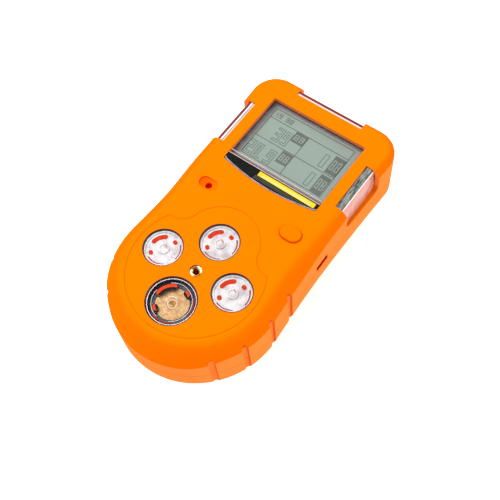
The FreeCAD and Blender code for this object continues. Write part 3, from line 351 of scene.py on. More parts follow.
def clear_lens():
    finish = Finish("lens", Base_Color=linear(215, 225, 225))
    finish.rough(finish.noise(9.0, 4.0), 0.1, 0.3)
    finish.clear(0.05, (0.99, 1.0, 0.99, 1.0), 0.0, 0.012)
    return finish.material


PIXEL_MM = 0.36


def display_sheet():
    """Reflective liquid-crystal display: grey-green with a slight drift of tone and a pixel grid."""
    finish = Finish("lcd", Specular_IOR_Level=0.3)
    drift = finish.remap(finish.noise(30.0, 1.0), 0.3, 0.7)
    finish.colour(finish.blend(drift, shown(160, 174, 166), shown(166, 180, 172)))
    finish.rough(finish.noise(3.0), 0.35, 0.5)
    finish.bump((finish.weave(PIXEL_MM, "MAXIMUM"), 0.001))
    return finish.material


# Colours of the windows' painted light and shade: bands, light in the side, glint and the gap's shade
GREY, WHITE, DARK_RED = (158, 154, 154), (255, 252, 252), (124, 34, 24)
SIDE_LIGHT_DEEP, SIDE_LIGHT_PALE = (206, 118, 104), (194, 150, 134)
GLINT, UNDER_GLINT = (255, 236, 230), (232, 112, 92)
GAP_SHADE_RED = (120, 12, 6)
# How far the window's skin looks up: its top, its rounded edge (middle and spread), and all but its side
TOP_TURN = (0.3, 0.7)
GLINT_TURN = (0.62, 0.14)
UNDER_GLINT_TURN = (0.34, 0.12)
UPWARD = 0.12


def window_plastic(name, dark, light, streak_mm, stretch, bands=(), gap_shade_mm=0.0):
    """Clear alarm window over a ribbed reflector, drawn in painted light and shade.

    Painted reflections streak along its top, painted light from the shell tints its side, and its rounded
    edge has a painted glint over a painted reflection line.
    Each band is a painted line of light and shade in one colour from one height or width outwards, on the
    parts that look up.
    The gap shade is the dark line of painted shade along the side's foot and far end, where the window
    meets the shell.
    """
    finish = Finish(name)
    facing = finish.facing("Z")
    # Painted reflections streaking along the top
    reflected_streaks = finish.remap(finish.noise(streak_mm, 5.0, stretch), 0.38, 0.62)
    grey = finish.blend(reflected_streaks, shown(*dark), shown(*light))
    # Painted light from the shell in the side
    patches = finish.remap(finish.noise(4.0, 3.0), 0.3, 0.7)
    side_light = finish.blend(patches, linear(*SIDE_LIGHT_DEEP), linear(*SIDE_LIGHT_PALE))
    tone = finish.blend(finish.remap(facing, *TOP_TURN), side_light, grey)
    # A painted reflection line and a painted glint on the rounded edge
    for turn, colour in ((UNDER_GLINT_TURN, UNDER_GLINT), (GLINT_TURN, GLINT)):
        tone = finish.blend(finish.math("COMPARE", facing, *turn), tone, linear(*colour))
    upward = finish.math("GREATER_THAN", facing, UPWARD)
    # Bands of painted light and shade on the parts that look up
    for letter, sign, start_mm, colour in bands:
        out = finish.math("MULTIPLY", finish.axis(letter), sign)
        beyond = finish.math("GREATER_THAN", out, getattr(HUB, letter.lower()) * sign + start_mm * MM)
        tone = finish.blend(finish.both(beyond, upward), tone, linear(*colour))
    # Painted shade along the side's foot and far end, in the gap to the shell
    if gap_shade_mm:
        low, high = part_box(name)
        foot = finish.math("LESS_THAN", finish.axis("Z"), low.z + gap_shade_mm * MM)
        far = finish.math("GREATER_THAN", finish.axis("Y"), high.y - gap_shade_mm * MM)
        tone = finish.blend(finish.math("MAXIMUM", foot, far), tone, linear(*GAP_SHADE_RED))
    finish.colour(tone)
    finish.rough(finish.noise(2.0, 3.0), 0.1, 0.3)
    return finish.material


def port_plastic():
    """Milky moulded cover with faint pink and lilac clouds."""
    finish = Finish("port_white", Specular_IOR_Level=0.6, Subsurface_Weight=0.15, Subsurface_Scale=0.0008)
    clouds = finish.remap(finish.noise(3.5, 3.0), 0.34, 0.6)
    finish.colour(finish.blend(clouds, shown(210, 198, 202), shown(248, 243, 243)))
    finish.rough(finish.noise(2.0, 3.0), 0.12, 0.28)
    finish.bump((finish.noise(1.8, 2.0), 0.03))
    return finish.material


RIPPLE_MM = 0.012


def port_clear():
    finish = Finish("port_clear", Base_Color=linear(150, 150, 152))
    shine = finish.clear(0.04, (0.95, 0.95, 0.95, 1.0), 0.0, 0.0)
    finish.rough(finish.noise(1.5, 3.0), 0.15, 0.3)
    ripple = finish.node("ShaderNodeBump", {"Height": finish.noise(1.8), "Distance": RIPPLE_MM * MM})
    finish.tree.links.new(ripple.outputs["Normal"], shine.inputs["Normal"])
    return finish.material


RIM_SLOT_SHADE_MM = (6.1, 6.3)
# The large port's gasket: where its lugs start below the face, their red and painted shade outwards, and
# its ring of painted shade
LUG_FOOT_MM = 2.6
LUG_LOOKS_UP = 0.5
LUG_INNER_SHADE = (26, 14, 10)
LUG_RED_AND_SHADE = ((6.35, (222, 62, 18)), (8.0, (150, 58, 48)))
RING_SHADE_MM = (7.0, 10.5)


def shaded_gasket(name):
    """A small port's gasket: red, darker under the slots along the rim."""
    finish = Finish(name, Specular_IOR_Level=0.1)
    grain = finish.remap(finish.noise(1.5, 3.0), 0.35, 0.65)
    bright = finish.blend(grain, linear(206, 52, 10), linear(190, 44, 8))
    deep = finish.remap(finish.reach(middle_of(name)), *(edge * MM for edge in RIM_SLOT_SHADE_MM))
    finish.colour(finish.blend(deep, bright, linear(176, 46, 26)))
    finish.rough(finish.noise(2.0), 0.45, 0.65)
    finish.bump((finish.noise(0.3), 0.01))
    return finish.material


def lugged_gasket():
    """The large port's gasket: dark grey for the painted shade of the cover, with lugs red on their outer
    half, and painted shade on their inner half, their walls and out at the rim.
    """
    finish = Finish("gasket_lugged", Specular_IOR_Level=0.1)
    out = finish.reach(middle_of("port_gasket_bottom"))
    raised = finish.math("GREATER_THAN", finish.axis("Z"), HUB.z - LUG_FOOT_MM * MM)
    looks_up = finish.math("GREATER_THAN", finish.facing("Z"), LUG_LOOKS_UP)
    ring = finish.remap(out, *(edge * MM for edge in RING_SHADE_MM))
    shade = finish.blend(ring, linear(92, 87, 92), linear(44, 36, 40))
    # Lugs: painted shade on the inner half, red further out, dimmer painted shade at the rim
    lug = linear(*LUG_INNER_SHADE)
    for start_mm, colour in LUG_RED_AND_SHADE:
        lug = finish.blend(finish.math("GREATER_THAN", out, start_mm * MM), lug, linear(*colour))
    finish.colour(finish.blend(finish.both(raised, looks_up), shade, lug))
    finish.rough(finish.noise(2.0), 0.45, 0.65)
    finish.bump((finish.noise(2.5), 0.01))
    return finish.material


def bezel_plastic():
    """Frame around the display: painted shade from near-black maroon at its lip to pale grey down by the
    display.
    """
    finish = Finish("bezel", Specular_IOR_Level=0.3)
    low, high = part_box("lcd_bezel")
    lip_shade = finish.remap(finish.axis("Z"), low.z, high.z)
    uneven = finish.remap(finish.noise(3.0, 3.0), 0.3, 0.7, -0.2, 0.2)
    finish.colour(finish.blend(finish.math("ADD", lip_shade, uneven), linear(146, 136, 141), linear(70, 52, 58)))
    finish.rough(finish.noise(4.0), 0.3, 0.5)
    finish.bump((finish.noise(0.3), 0.004))
    return finish.material


RINGS_UNDER_HUB_MM = (2.3, 2.1, 1.55)
GRAIN_MM = 0.28


def sinter_face():
    """Pressed bronze grains with rings in the middle, under the clear cover's hub: pale ring, dark line,
    gold centre.
    """
    finish = Finish("sinter_disc")
    out = finish.reach(middle_of("sinter_disc"))
    grains = finish.remap(finish.cells(GRAIN_MM), 0.1, 0.7)
    patches = finish.remap(finish.noise(1.4, 3.0), 0.35, 0.65)
    tone = finish.blend(patches, linear(224, 164, 100), linear(252, 212, 154))
    gold = finish.blend(patches, linear(176, 110, 20), linear(232, 178, 84))
    for edge_mm, colour in zip(RINGS_UNDER_HUB_MM, (linear(122, 74, 36), linear(255, 222, 174), gold)):
        tone = finish.blend(finish.math("LESS_THAN", out, edge_mm * MM), tone, colour)
    finish.colour(finish.blend(finish.math("MULTIPLY", grains, 0.25), tone, linear(120, 74, 30)))
    finish.rough(finish.noise(0.5, 3.0), 0.45, 0.7)
    finish.bump((grains, 0.03), (finish.noise(2.0), 0.05))
    return finish.material


def sintered(name, first, second):
    finish = Finish(name, Metallic=1.0)
    grains = finish.cells(GRAIN_MM)
    grey = finish.blend(finish.remap(grains, 0.1, 0.7), linear(*first), linear(*second))
    finish.colour(grey)
    finish.rough(finish.noise(0.5, 3.0), 0.45, 0.7)
    finish.bump((grains, 0.05), (finish.noise(2.0), 0.05))
    return finish.material


BORE_SHADE_MM = (-3.2, -0.9)
LATHE_RINGS = 1200.0    # per metre


def turned_brass():
    """Turned brass: painted highlights in two bright arcs round its ring, and painted shade in its bore."""
    finish = Finish("brass", Metallic=0.6)
    centred = finish.vector_math("SUBTRACT", finish.place, HUB).outputs[0]
    parts = finish.node("ShaderNodeSeparateXYZ", {0: centred})
    turn = finish.math("ARCTAN2", parts.outputs["Y"], parts.outputs["X"])
    wobble = finish.remap(finish.noise(1.0, 3.0), 0.3, 0.7, -0.4, 0.4)
    # Painted highlights: two bright arcs round the ring, with a wobble
    wave = finish.math("SINE", finish.math("ADD", finish.math("MULTIPLY_ADD", turn, 2.0, -0.6), wobble))
    glint_share = finish.remap(wave, -0.5, 0.7)
    ring = finish.blend(glint_share, linear(150, 88, 10), linear(255, 232, 168))
    depth = finish.remap(parts.outputs["Z"], *(level * MM for level in BORE_SHADE_MM))
    finish.colour(finish.blend(depth, linear(190, 72, 20), ring))
    finish.rough(finish.noise(0.6, 3.0), 0.15, 0.35)
    values = {"Vector": centred, "Scale": LATHE_RINGS}
    rings = finish.node("ShaderNodeTexWave", values, wave_type="RINGS", rings_direction="Z")
    finish.bump((rings.outputs["Fac"], 0.01))
    return finish.material


def brushed(name, first, second, stretch, smooth, rough):
    finish = Finish(name, Metallic=1.0)
    lines = finish.noise(0.35, 4.0, stretch)
    finish.colour(finish.blend(finish.remap(lines, 0.35, 0.65), linear(*first), linear(*second)))
    finish.rough(finish.noise(3.0, 3.0), smooth, rough)
    finish.bump((lines, 0.006))
    return finish.material


def knitted(name, first, second, pitch_mm):
    """Fine square mesh or membrane."""
    finish = Finish(name, Specular_IOR_Level=0.0)
    weave = finish.remap(finish.weave(pitch_mm, "MULTIPLY"), -1.0, 1.0)
    finish.colour(finish.blend(weave, linear(*first), linear(*second)))
    finish.bump((weave, 0.05))
    return finish.material


def circuit_board():
    """Green solder mask with a hint of the copper tracks under it."""
    finish = Finish("pcb")
    tracks = finish.cells(3.0, "DISTANCE_TO_EDGE")
    copper = finish.remap(tracks, 0.04, 0.07, 1.0, 0.0)
    finish.colour(finish.blend(copper, linear(18, 92, 52), linear(36, 128, 74)))
    finish.rough(finish.noise(4.0, 3.0), 0.25, 0.45)
    finish.bump((copper, 0.03), (finish.noise(0.3), 0.004))
    return finish.material


PLASTIC_GRAIN_MM = 0.3


def plastic(name, first, second, size_mm, smooth, rough, grain_depth_mm, **sockets):
    """Plain moulded or coated surface: two close tones, uneven gloss and a fine grain."""
    finish = Finish(name, **sockets)
    patches = finish.remap(finish.noise(size_mm, 3.0), 0.35, 0.65)
    finish.colour(finish.blend(patches, linear(*first), linear(*second)))
    finish.rough(finish.noise(size_mm / 3, 4.0), smooth, rough)
    finish.bump((finish.noise(PLASTIC_GRAIN_MM), grain_depth_mm))
    return finish.material


FINISHES = {
    "orange_shell": shell_plastic("orange_shell", (255, 122, 0), (246, 110, 0), (244, 132, 56)),
    "orange_key": key_plastic("orange_key", (255, 118, 0), (238, 102, 0), (226, 88, 14)),
    "clear_window": window_plastic(
        "alarm_window_right", (60, 66, 62), (168, 174, 168), 0.5, (1.0, 0.16, 1.0), gap_shade_mm=0.55),
    "display_glass": display_sheet(),
    "black_print": plastic(
        "label_black", (12, 14, 12), (18, 20, 17), 5.0, 0.18, 0.32, 0.002, Specular_IOR_Level=0.12),
    "yellow_print": plastic("label_yellow", (232, 204, 0), (224, 196, 0), 5.0, 0.2, 0.35, 0.002),
    "bright_trim": brushed("trim", (188, 178, 190), (140, 130, 146), (1.0, 6.0, 1.0), 0.2, 0.4),
    "port_white": port_plastic(),
    "port_clear": port_clear(),
    "filter_white": knitted("membrane", (236, 232, 228), (206, 200, 196), 0.25),
    "sensor_body": plastic("sensor_black", (44, 44, 47), (60, 60, 63), 4.0, 0.3, 0.5, 0.008),
    "brass": turned_brass(),
    "pcb_green": circuit_board(),
    "chip_black": plastic("chip", (32, 32, 33), (42, 42, 42), 1.5, 0.45, 0.65, 0.006),
    "contact_gold": brushed("gold_plate", (236, 202, 120), (214, 176, 92), (6.0, 1.0, 1.0), 0.15, 0.35),
    "flex_amber": plastic("flex_film", (206, 128, 44), (188, 110, 34), 2.0, 0.15, 0.3, 0.003),
    "backlight_white": plastic("diffuser", (238, 238, 232), (228, 228, 222), 5.0, 0.4, 0.6, 0.004),
    "battery_wrap": plastic("battery_film", (38, 84, 150), (30, 70, 132), 6.0, 0.12, 0.3, 0.01),
    "foam_grey": plastic("foam", (96, 96, 98), (70, 70, 72), 0.8, 0.8, 0.95, 0.12),
    "wire_red": plastic("insulation", (176, 30, 28), (150, 24, 22), 2.0, 0.3, 0.5, 0.004),
    "plug_white": plastic("plug", (232, 226, 210), (222, 214, 196), 2.0, 0.35, 0.5, 0.006),
    "buzzer_black": plastic("buzzer", (38, 38, 40), (50, 50, 52), 3.0, 0.35, 0.55, 0.006),
    "mesh_red": knitted("sounder_mesh", (236, 4, 0), (140, 2, 0), 0.3),
    "switch_black": plastic("switch", (40, 40, 42), (52, 52, 54), 2.0, 0.35, 0.5, 0.005),
    "ir_red": plastic(
        "ir_filter", (196, 8, 0), (150, 4, 0), 3.0, 0.05, 0.15, 0.002, Specular_IOR_Level=0.1),
    "led_clear": plastic("led", (242, 214, 206), (232, 190, 180), 1.0, 0.1, 0.25, 0.003),
    "steel": brushed("steel", (200, 200, 202), (170, 170, 172), (1.0, 1.0, 6.0), 0.2, 0.4),
    "tungsten": sintered("tungsten", (120, 120, 124), (160, 160, 164)),
    "screw_steel": brushed("screw", (188, 188, 190), (150, 150, 154), (5.0, 1.0, 1.0), 0.25, 0.45),
    "gasket_black": plastic("seal", (30, 30, 31), (42, 42, 43), 2.0, 0.6, 0.8, 0.01),
    "label_silver": brushed("rear_label", (214, 214, 216), (196, 196, 198), (12.0, 1.0, 1.0), 0.3, 0.45),
    "clip_black": plastic("clip", (34, 34, 36), (44, 44, 46), 6.0, 0.4, 0.6, 0.02),
}
OWN_FINISHES = {
    "display_lens": clear_lens(),
    "alarm_window_left": window_plastic(
        "alarm_window_left", (238, 234, 234), (255, 253, 253), 1.0, (1.0, 0.1, 1.0),
        (("X", -1.0, 28.33, GREY), ("X", -1.0, 28.9, WHITE), ("X", -1.0, 29.45, DARK_RED))),
    "alarm_window_top": window_plastic(
        "alarm_window_top", (244, 240, 240), (255, 253, 253), 1.0, (0.1, 1.0, 1.0),
        (("Y", 1.0, 90.8, DARK_RED),)),
    "lcd_bezel": bezel_plastic(),
    "sinter_disc": sinter_face(),
    "port_gasket_left": shaded_gasket("port_gasket_left"),
    "port_gasket_right": shaded_gasket("port_gasket_right"),
    "port_gasket_top": shaded_gasket("port_gasket_top"),
    "port_gasket_bottom": lugged_gasket(),
}


def clear_of_contact(name, gap_mm):
    """Shrink a node's skin a hair, so it never shares a plane with the clear part that rests on it."""
    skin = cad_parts[name].modifiers.new("gap", "DISPLACE")
    skin.mid_level = 0.0
    skin.strength = -gap_mm * MM


def paint_cad_nodes():
    for name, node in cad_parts.items():
        for slot in node.material_slots:
            slot.material = OWN_FINISHES.get(name) or FINISHES[slot.material.name.split(".")[0]]


# ---------------------------------------------------------------- flat print

INK_T = 0.03
DIGIT_LINE = 0.22
FRAME_LINE = 0.26

GLYPHS = {
    "0": ("###", "#.#", "#.#", "#.#", "###"),
    "1": ("..#", "..#", "..#", "..#", "..#"),
    "2": ("###", "..#", "###", "#..", "###"),
    "3": ("###", "..#", "###", "..#", "###"),
    "8": ("###", "#.#", "###", "#.#", "###"),
    "9": ("###", "#.#", "###", "..#", "###"),
}


def spans(start, *sizes):
    """Running edges of bands of the given sizes."""
    edges = [start]
    for size in sizes:
        edges.append(edges[-1] + size)
    return edges


def glyph_cells(digit, x, y, width, height, stroke):
    """The digit's filled cells and its column and row edges, bottom row first."""
    gap_x = width - 2 * stroke
    gap_y = (height - 3 * stroke) / 2
    columns = spans(x, stroke, gap_x, stroke)
    rows = spans(y, stroke, gap_y, stroke, gap_y, stroke)
    filled = set()
    for row, text in enumerate(reversed(GLYPHS[digit])):
        for column, mark in enumerate(text):
            if mark == "#":
                filled.add((column, row))
    return filled, columns, rows


def solid_digit(digit, x, y, width, height, stroke):
    filled, columns, rows = glyph_cells(digit, x, y, width, height, stroke)
    return [(columns[i], columns[i + 1], rows[j], rows[j + 1]) for i, j in sorted(filled)]


def outlined_digit(digit, x, y, width, height, stroke):
    """Thin lines round the digit's strokes."""
    filled, columns, rows = glyph_cells(digit, x, y, width, height, stroke)
    half = DIGIT_LINE / 2
    lines = []
    for i, j in sorted(filled):
        left, right, low, high = columns[i], columns[i + 1], rows[j], rows[j + 1]
        if (i - 1, j) not in filled:
            lines.append((left - half, left + half, low - half, high + half))
        if (i + 1, j) not in filled:
            lines.append((right - half, right + half, low - half, high + half))
        if (i, j - 1) not in filled:
            lines.append((left - half, right + half, low - half, low + half))
        if (i, j + 1) not in filled:
            lines.append((left - half, right + half, high - half, high + half))
    return lines


def outlined_box(x0, x1, y0, y1, line=DIGIT_LINE):
    return [
        (x0, x1, y0, y0 + line),
        (x0, x1, y1 - line, y1),
        (x0, x0 + line, y0, y1),
        (x1 - line, x1, y0, y1),
    ]


def hub_vert(mesh, x, y, z):
    return mesh.verts.new(HUB + Vector((x, y, z)) * MM)


def add_cells(mesh, rectangles, z0, z1):
    """The union of the rectangles (x0, x1, y0, y1), raised from z0 to z1, with no inner walls."""
    rectangles = [tuple(round(value, 4) for value in rectangle) for rectangle in rectangles]
    xs = sorted({x for rectangle in rectangles for x in rectangle[:2]})
    ys = sorted({y for rectangle in rectangles for y in rectangle[2:]})
    filled = set()
    for x0, x1, y0, y1 in rectangles:
        for i in range(xs.index(x0), xs.index(x1)):
            for j in range(ys.index(y0), ys.index(y1)):
                filled.add((i, j))
    verts = {}

    def vert(i, j, z):
        if (i, j, z) not in verts:
            verts[i, j, z] = hub_vert(mesh, xs[i], ys[j], z)
        return verts[i, j, z]

    for i, j in sorted(filled):
        mesh.faces.new([vert(i, j, z1), vert(i + 1, j, z1), vert(i + 1, j + 1, z1), vert(i, j + 1, z1)])
        mesh.faces.new([vert(i, j, z0), vert(i, j + 1, z0), vert(i + 1, j + 1, z0), vert(i + 1, j, z0)])
        sides = (
            ((i, j - 1), (i, j), (i + 1, j)),
            ((i + 1, j), (i + 1, j), (i + 1, j + 1)),
            ((i, j + 1), (i + 1, j + 1), (i, j + 1)),
            ((i - 1, j), (i, j + 1), (i, j)),
        )
        for beside, a, b in sides:
            if beside not in filled:
                mesh.faces.new([vert(*a, z0), vert(*b, z0), vert(*b, z1), vert(*a, z1)])


def add_prism(mesh, corners, z0, z1):
    """Upright prism on corners that run anticlockwise seen from the front."""
    low = [hub_vert(mesh, x, y, z0) for x, y in corners]
    high = [hub_vert(mesh, x, y, z1) for x, y in corners]
    mesh.faces.new(high)
    mesh.faces.new(low[::-1])
    for k in range(len(corners)):
        after = (k + 1) % len(corners)
        mesh.faces.new([low[k], low[after], high[after], high[k]])


def add_piece(name, mesh, material, body="housing"):
    data = bpy.data.meshes.new(name)
    bmesh.ops.recalc_face_normals(mesh, faces=mesh.faces)
    mesh.to_mesh(data)
    mesh.free()
    data.materials.append(material)
    piece = bpy.data.objects.new(name, data)
    bpy.context.collection.objects.link(piece)
    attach(piece, body)


INK = plastic("lcd_ink", (50, 58, 55), (58, 66, 63), 4.0, 0.35, 0.5, 0.001)
DIGIT_INK = plastic("lcd_digit", (56, 65, 61), (64, 73, 69), 4.0, 0.35, 0.5, 0.001)
TILE_INK = plastic("lcd_tile", (84, 90, 87), (92, 98, 95), 3.0, 0.35, 0.5, 0.001)
PALE_INK = plastic("lcd_pale", (128, 139, 133), (136, 147, 141), 3.0, 0.35, 0.5, 0.001)
WHITE_PRINT = plastic("print_white", (228, 222, 140), (236, 232, 180), 1.2, 0.25, 0.4, 0.002)
OLIVE_PRINT = plastic("print_olive", (84, 78, 54), (70, 66, 48), 3.0, 0.25, 0.4, 0.002)
# Colour of the lens ridge's painted highlights
RIDGE_HIGHLIGHT_ROSE = plastic("ridge_highlight_rose", (206, 170, 164), (214, 186, 180), 3.0, 0.15, 0.3, 0.002)

# The display's ruled frame, the rules across and down it, and what is shown in it
FRAME = (-20.3, 19.1, 55.1, 81.2)
STATUS_Y = 76.2
MIDDLE_Y = 65.5
CENTRE_X = -0.4
# The clock's digits, and the two readings' digits with their widths
CLOCK = (("1", -19.6), ("9", -17.2), ("3", -13.8), ("8", -11.8))
CLOCK_Y, CLOCK_W, CLOCK_H, CLOCK_STROKE = 77.4, 1.5, 2.3, 0.28
READINGS = (
    ("3", -13.3, 66.9, 3.0),
    ("9", -9.3, 66.9, 2.8),
    ("2", -20.0, 56.0, 3.0),
    ("0", -16.0, 56.0, 2.6),
    ("9", -10.0, 56.0, 3.0),
)
READING_H, READING_STROKE = 6.9, 0.95
BARS = ((9.9, 12.0, 66.9, 73.7), (9.9, 12.0, 56.4, 63.2))
POINT = (-12.7, -12.1, 56.0, 56.6)
# Dark tiles, each with two figures placed and sized as shares of it
TILES = (
    (-6.3, -0.5, 70.7, 76.0),
    (-5.7, -0.6, 59.0, 65.2),
    (13.8, 19.0, 66.0, 75.2),
    (13.8, 18.6, 55.5, 64.7),
)
FIGURE_LEFTS = (0.12, 0.56)
FIGURE_LOW, FIGURE_W, FIGURE_H = 0.22, 0.32, 0.55
FIGURE_STROKE = 0.45


def add_screen_print():
    x0, x1, y0, _ = FRAME
    lines = bmesh.new()
    rule = FRAME_LINE / 2
    rules = outlined_box(*FRAME, line=FRAME_LINE)
    rules.append((x0, x1, STATUS_Y - rule, STATUS_Y + rule))
    rules.append((x0, x1, MIDDLE_Y - rule, MIDDLE_Y + rule))
    rules.append((CENTRE_X - rule, CENTRE_X + rule, y0, STATUS_Y))
    add_cells(lines, rules, LCD_Z, LCD_Z + INK_T)
    add_piece("lcd_rules", lines, INK)

    digits = bmesh.new()
    for digit, x in CLOCK:
        figure = solid_digit(digit, x, CLOCK_Y, CLOCK_W, CLOCK_H, CLOCK_STROKE)
        add_cells(digits, figure, LCD_Z, LCD_Z + INK_T)
    for digit, x, y, width in READINGS:
        figure = outlined_digit(digit, x, y, width, READING_H, READING_STROKE)
        add_cells(digits, figure, LCD_Z, LCD_Z + INK_T)
    for bar in BARS:
        add_cells(digits, outlined_box(*bar), LCD_Z, LCD_Z + INK_T)
    add_cells(digits, [POINT], LCD_Z, LCD_Z + INK_T)
    add_piece("lcd_digits", digits, DIGIT_INK)

    tiles = bmesh.new()
    marks = bmesh.new()
    for tile in TILES:
        add_cells(tiles, [tile], LCD_Z, LCD_Z + INK_T)
        x0, x1, y0, y1 = tile
        width, height = x1 - x0, y1 - y0
        low = y0 + height * FIGURE_LOW
        for share in FIGURE_LEFTS:
            left = x0 + width * share
            figure = solid_digit("8", left, low, width * FIGURE_W, height * FIGURE_H, FIGURE_STROKE)
            add_cells(marks, figure, LCD_Z + INK_T, LCD_Z + 2 * INK_T)
    add_piece("lcd_tiles", tiles, TILE_INK)
    add_piece("lcd_tile_marks", marks, PALE_INK)


BOW_R = 99.5
BOW_LOW_Y = 44.4
TRIM_CLEAR = 0.95
# Leaning strokes: where they start and stop, their pitch, width and lean, and their upper end
DASHES = (-4.4, 18.6, 0.95, 0.4, 0.55, 49.2)
DASH_LOW_Y = 48.1
HATCHES = (-7.2, 20.4, 0.78, 0.36, 0.54, 47.7)
HATCH_LOW_Y = 46.0
# Painted highlights along the edges of the ridge moulded across the lens
RIDGE_HIGHLIGHTS = ((-22.2, 22.2, 50.45, 50.75), (-22.2, 22.2, 52.05, 52.35))
RIDGE_UP = 0.2


def bow_y(x):
    """The label's lower bowed edge."""
    return BOW_LOW_Y + BOW_R - math.sqrt(BOW_R ** 2 - x ** 2)


def add_strokes(mesh, strokes, low_y, z):
    """Leaning printed strokes; low_y gives the lower end of the one at x."""
    x, stop, pitch, width, lean, high_y = strokes
    while x < stop:
        low = low_y(x)
        corners = ((x, low), (x + width, low), (x + width + lean, high_y), (x + lean, high_y))
        add_prism(mesh, corners, z, z + INK_T)
        x += pitch


def add_label_print():
    dashes = bmesh.new()
    add_strokes(dashes, DASHES, lambda x: DASH_LOW_Y, STRIPE_Z)
    add_piece("stripe_dashes", dashes, WHITE_PRINT)

    hatch = bmesh.new()
    add_strokes(hatch, HATCHES, lambda x: max(HATCH_LOW_Y, bow_y(x) + TRIM_CLEAR), PLATE_Z)
    add_piece("label_hatch", hatch, OLIVE_PRINT)

    # Strips of painted highlight on the lens ridge's edges
    edges = bmesh.new()
    for edge in RIDGE_HIGHLIGHTS:
        add_cells(edges, [edge], LENS_Z + RIDGE_UP, LENS_Z + RIDGE_UP + INK_T)
    add_piece("lens_ridge_glints", edges, RIDGE_HIGHLIGHT_ROSE)


# ---------------------------------------------------------------- ports

SMALL_PORTS = ("port_cover_left", "port_cover_right", "port_cover_top")
HOLE_CLEARANCE = 0.15       # between a cover's rim and its hole
FLANGE_LAP = 1.2
RIM_TOP_Z = -0.9
DISC_TOP_Z = -1.35
HUB_TOP_Z = -1.0
DIVISIONS_PER_TURN = 96
# A dark ring of painted shade between a cover and its hole: radius from the hole's wall, and height
CHAMFER = 0.35
SHADOW_RING_LIP = (
    (-0.13, -0.92),
    (-0.02, -0.92),
    (-0.02, -CHAMFER),
    (CHAMFER - 0.06, -0.04),
    (CHAMFER - 0.1, 0.02),
    (-0.13, -CHAMFER + 0.05),
)
# The dark crescent of painted shadow beside the brass insert: radii, heights and degrees
INSERT_SHADOW_CRESCENT = (2.46, 2.62, -0.3, 0.02, 70.0, 205.0)
# Raised arcs on the clear cover, coloured as painted highlights: radii, foot and degrees
ARC_HIGHLIGHT_H = 0.08
COVER_HIGHLIGHT_ARCS = (
    (9.25, 9.5, RIM_TOP_Z, 0.0, 360.0),
    (7.75, 7.9, DISC_TOP_Z, -60.0, 130.0),
    (7.75, 7.9, DISC_TOP_Z, 175.0, 262.0),
    (2.1, 2.25, HUB_TOP_Z, 30.0, 215.0),
    (1.5, 1.62, HUB_TOP_Z, 200.0, 320.0),
)
# The short red line beside each small cover's hub
MARK_CORNERS = ((-0.65, 1.62), (0.72, 1.08), (0.87, 1.45), (-0.5, 2.0))
MARK_UP = 0.06


def cover_centre(name):
    """Middle of a port cover in millimetres from the insert."""
    low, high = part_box(name)
    return ((low.x + high.x) / 2 - HUB.x) / MM, ((low.y + high.y) / 2 - HUB.y) / MM


def rim_radius(name):
    """Radius of a cover's rim: half its flange less the flange's overlap."""
    low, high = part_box(name)
    return (high.x - low.x) / 2 / MM - FLANGE_LAP


def add_lathe(mesh, centre, profile, deg0=0.0, deg1=360.0):
    """Ring or part of one, with the closed profile of (radius, z) all the way along."""
    whole = deg1 - deg0 >= 360.0
    steps = max(2, round(DIVISIONS_PER_TURN * (deg1 - deg0) / 360.0))
    rows = []
    for step in range(steps if whole else steps + 1):
        a = math.radians(deg0 + (deg1 - deg0) * step / steps)
        row = []
        for r, z in profile:
            row.append(hub_vert(mesh, centre[0] + r * math.cos(a), centre[1] + r * math.sin(a), z))
        rows.append(row)
    for k in range(steps):
        here, after = rows[k], rows[(k + 1) % len(rows)]
        for i in range(len(profile)):
            j = (i + 1) % len(profile)
            mesh.faces.new([here[i], after[i], after[j], here[j]])
    if not whole:
        mesh.faces.new(rows[0])
        mesh.faces.new(rows[-1][::-1])


def add_ring(mesh, centre, inner, outer, z0, z1, deg0, deg1):
    """Raised ring or part of one, with square edges."""
    add_lathe(mesh, centre, ((inner, z0), (outer, z0), (outer, z1), (inner, z1)), deg0, deg1)


# Colour of the rings and crescent of painted shade
SHADOW_RING_DARK = plastic("port_shadow_ring", (58, 22, 34), (40, 14, 26), 2.0, 0.4, 0.6, 0.004)
# Colour of the painted highlight arcs on the clear cover
ARC_HIGHLIGHT_TONE = plastic("cover_highlight_tone", (206, 196, 206), (226, 220, 226), 1.5, 0.1, 0.25, 0.003)
COVER_MARK = plastic("cover_mark", (206, 96, 92), (190, 84, 82), 1.0, 0.3, 0.5, 0.002)


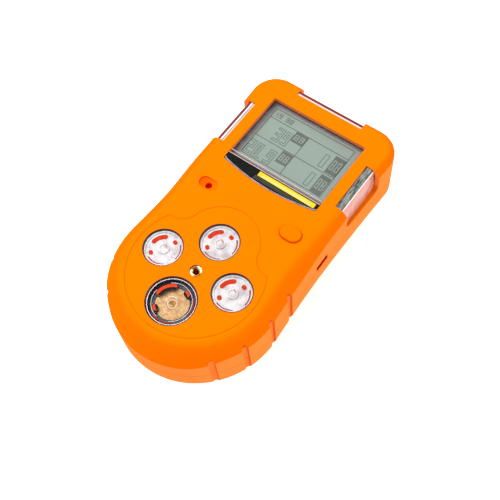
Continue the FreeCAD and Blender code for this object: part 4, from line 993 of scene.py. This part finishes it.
def add_port_details():
    # Dark rings of painted shade round the covers, and a painted shadow crescent by the insert
    shadow_rings = bmesh.new()
    for name in SMALL_PORTS + ("port_cover_bottom",):
        wall = rim_radius(name) + HOLE_CLEARANCE
        add_lathe(shadow_rings, cover_centre(name), [(wall + out, z) for out, z in SHADOW_RING_LIP])
    add_ring(shadow_rings, (0.0, 0.0), *INSERT_SHADOW_CRESCENT)
    add_piece("port_shadow_rings", shadow_rings, SHADOW_RING_DARK)

    # Raised arcs in a painted highlight colour on the clear cover
    highlight_arcs = bmesh.new()
    for inner, outer, foot, deg0, deg1 in COVER_HIGHLIGHT_ARCS:
        add_ring(highlight_arcs, cover_centre("port_cover_bottom"), inner, outer, foot, foot + ARC_HIGHLIGHT_H, deg0, deg1)
    add_piece("cover_painted_highlights", highlight_arcs, ARC_HIGHLIGHT_TONE)

    marks = bmesh.new()
    for name in SMALL_PORTS:
        x, y = cover_centre(name)
        corners = [(x + dx, y + dy) for dx, dy in MARK_CORNERS]
        add_prism(marks, corners, DISC_TOP_Z, HUB_TOP_Z + MARK_UP)
    add_piece("cover_marks", marks, COVER_MARK)


# ---------------------------------------------------------------- clip spring


def add_spring():
    """A steel copy of the clip's spring, whose coil runs from the leg on the arm to the leg on the bracket,
    in place of the hidden CAD spring.
    """
    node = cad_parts["clip_spring"]
    wire = bpy.data.objects.new("spring_wire", node.data.copy())
    wire.data.materials.clear()
    wire.data.materials.append(FINISHES["steel"])
    wire.matrix_world = node.matrix_world.copy()
    bpy.context.collection.objects.link(wire)
    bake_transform(wire)
    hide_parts("clip_spring")


# ---------------------------------------------------------------- the scene

FLOOR_HALF = 3.0
FLOOR_TONE = (0.93, 0.93, 0.93, 1)
FLOOR_GLOW = 0.55
GASKET_GAP_MM = 0.05


def add_floor():
    mesh = bpy.data.meshes.new("floor")
    corners = [(FLOOR_HALF * x, FLOOR_HALF * y, 0) for x, y in ((-1, -1), (1, -1), (1, 1), (-1, 1))]
    mesh.from_pydata(corners, [], [(0, 1, 2, 3)])
    floor = bpy.data.objects.new("floor", mesh)
    bpy.context.collection.objects.link(floor)
    glow = {"Emission_Color": (1, 1, 1, 1), "Emission_Strength": FLOOR_GLOW}
    mesh.materials.append(Finish("floor", Base_Color=FLOOR_TONE, Roughness=0.9, **glow).material)


add_camera()
add_floor()
add_world()
for light in AREA_LIGHTS:
    add_area_light(*light)
bpy.context.scene.view_settings.view_transform = "Standard"

paint_cad_nodes()
clear_of_contact("port_gasket_bottom", GASKET_GAP_MM)
add_screen_print()
add_label_print()
add_port_details()
add_spring()
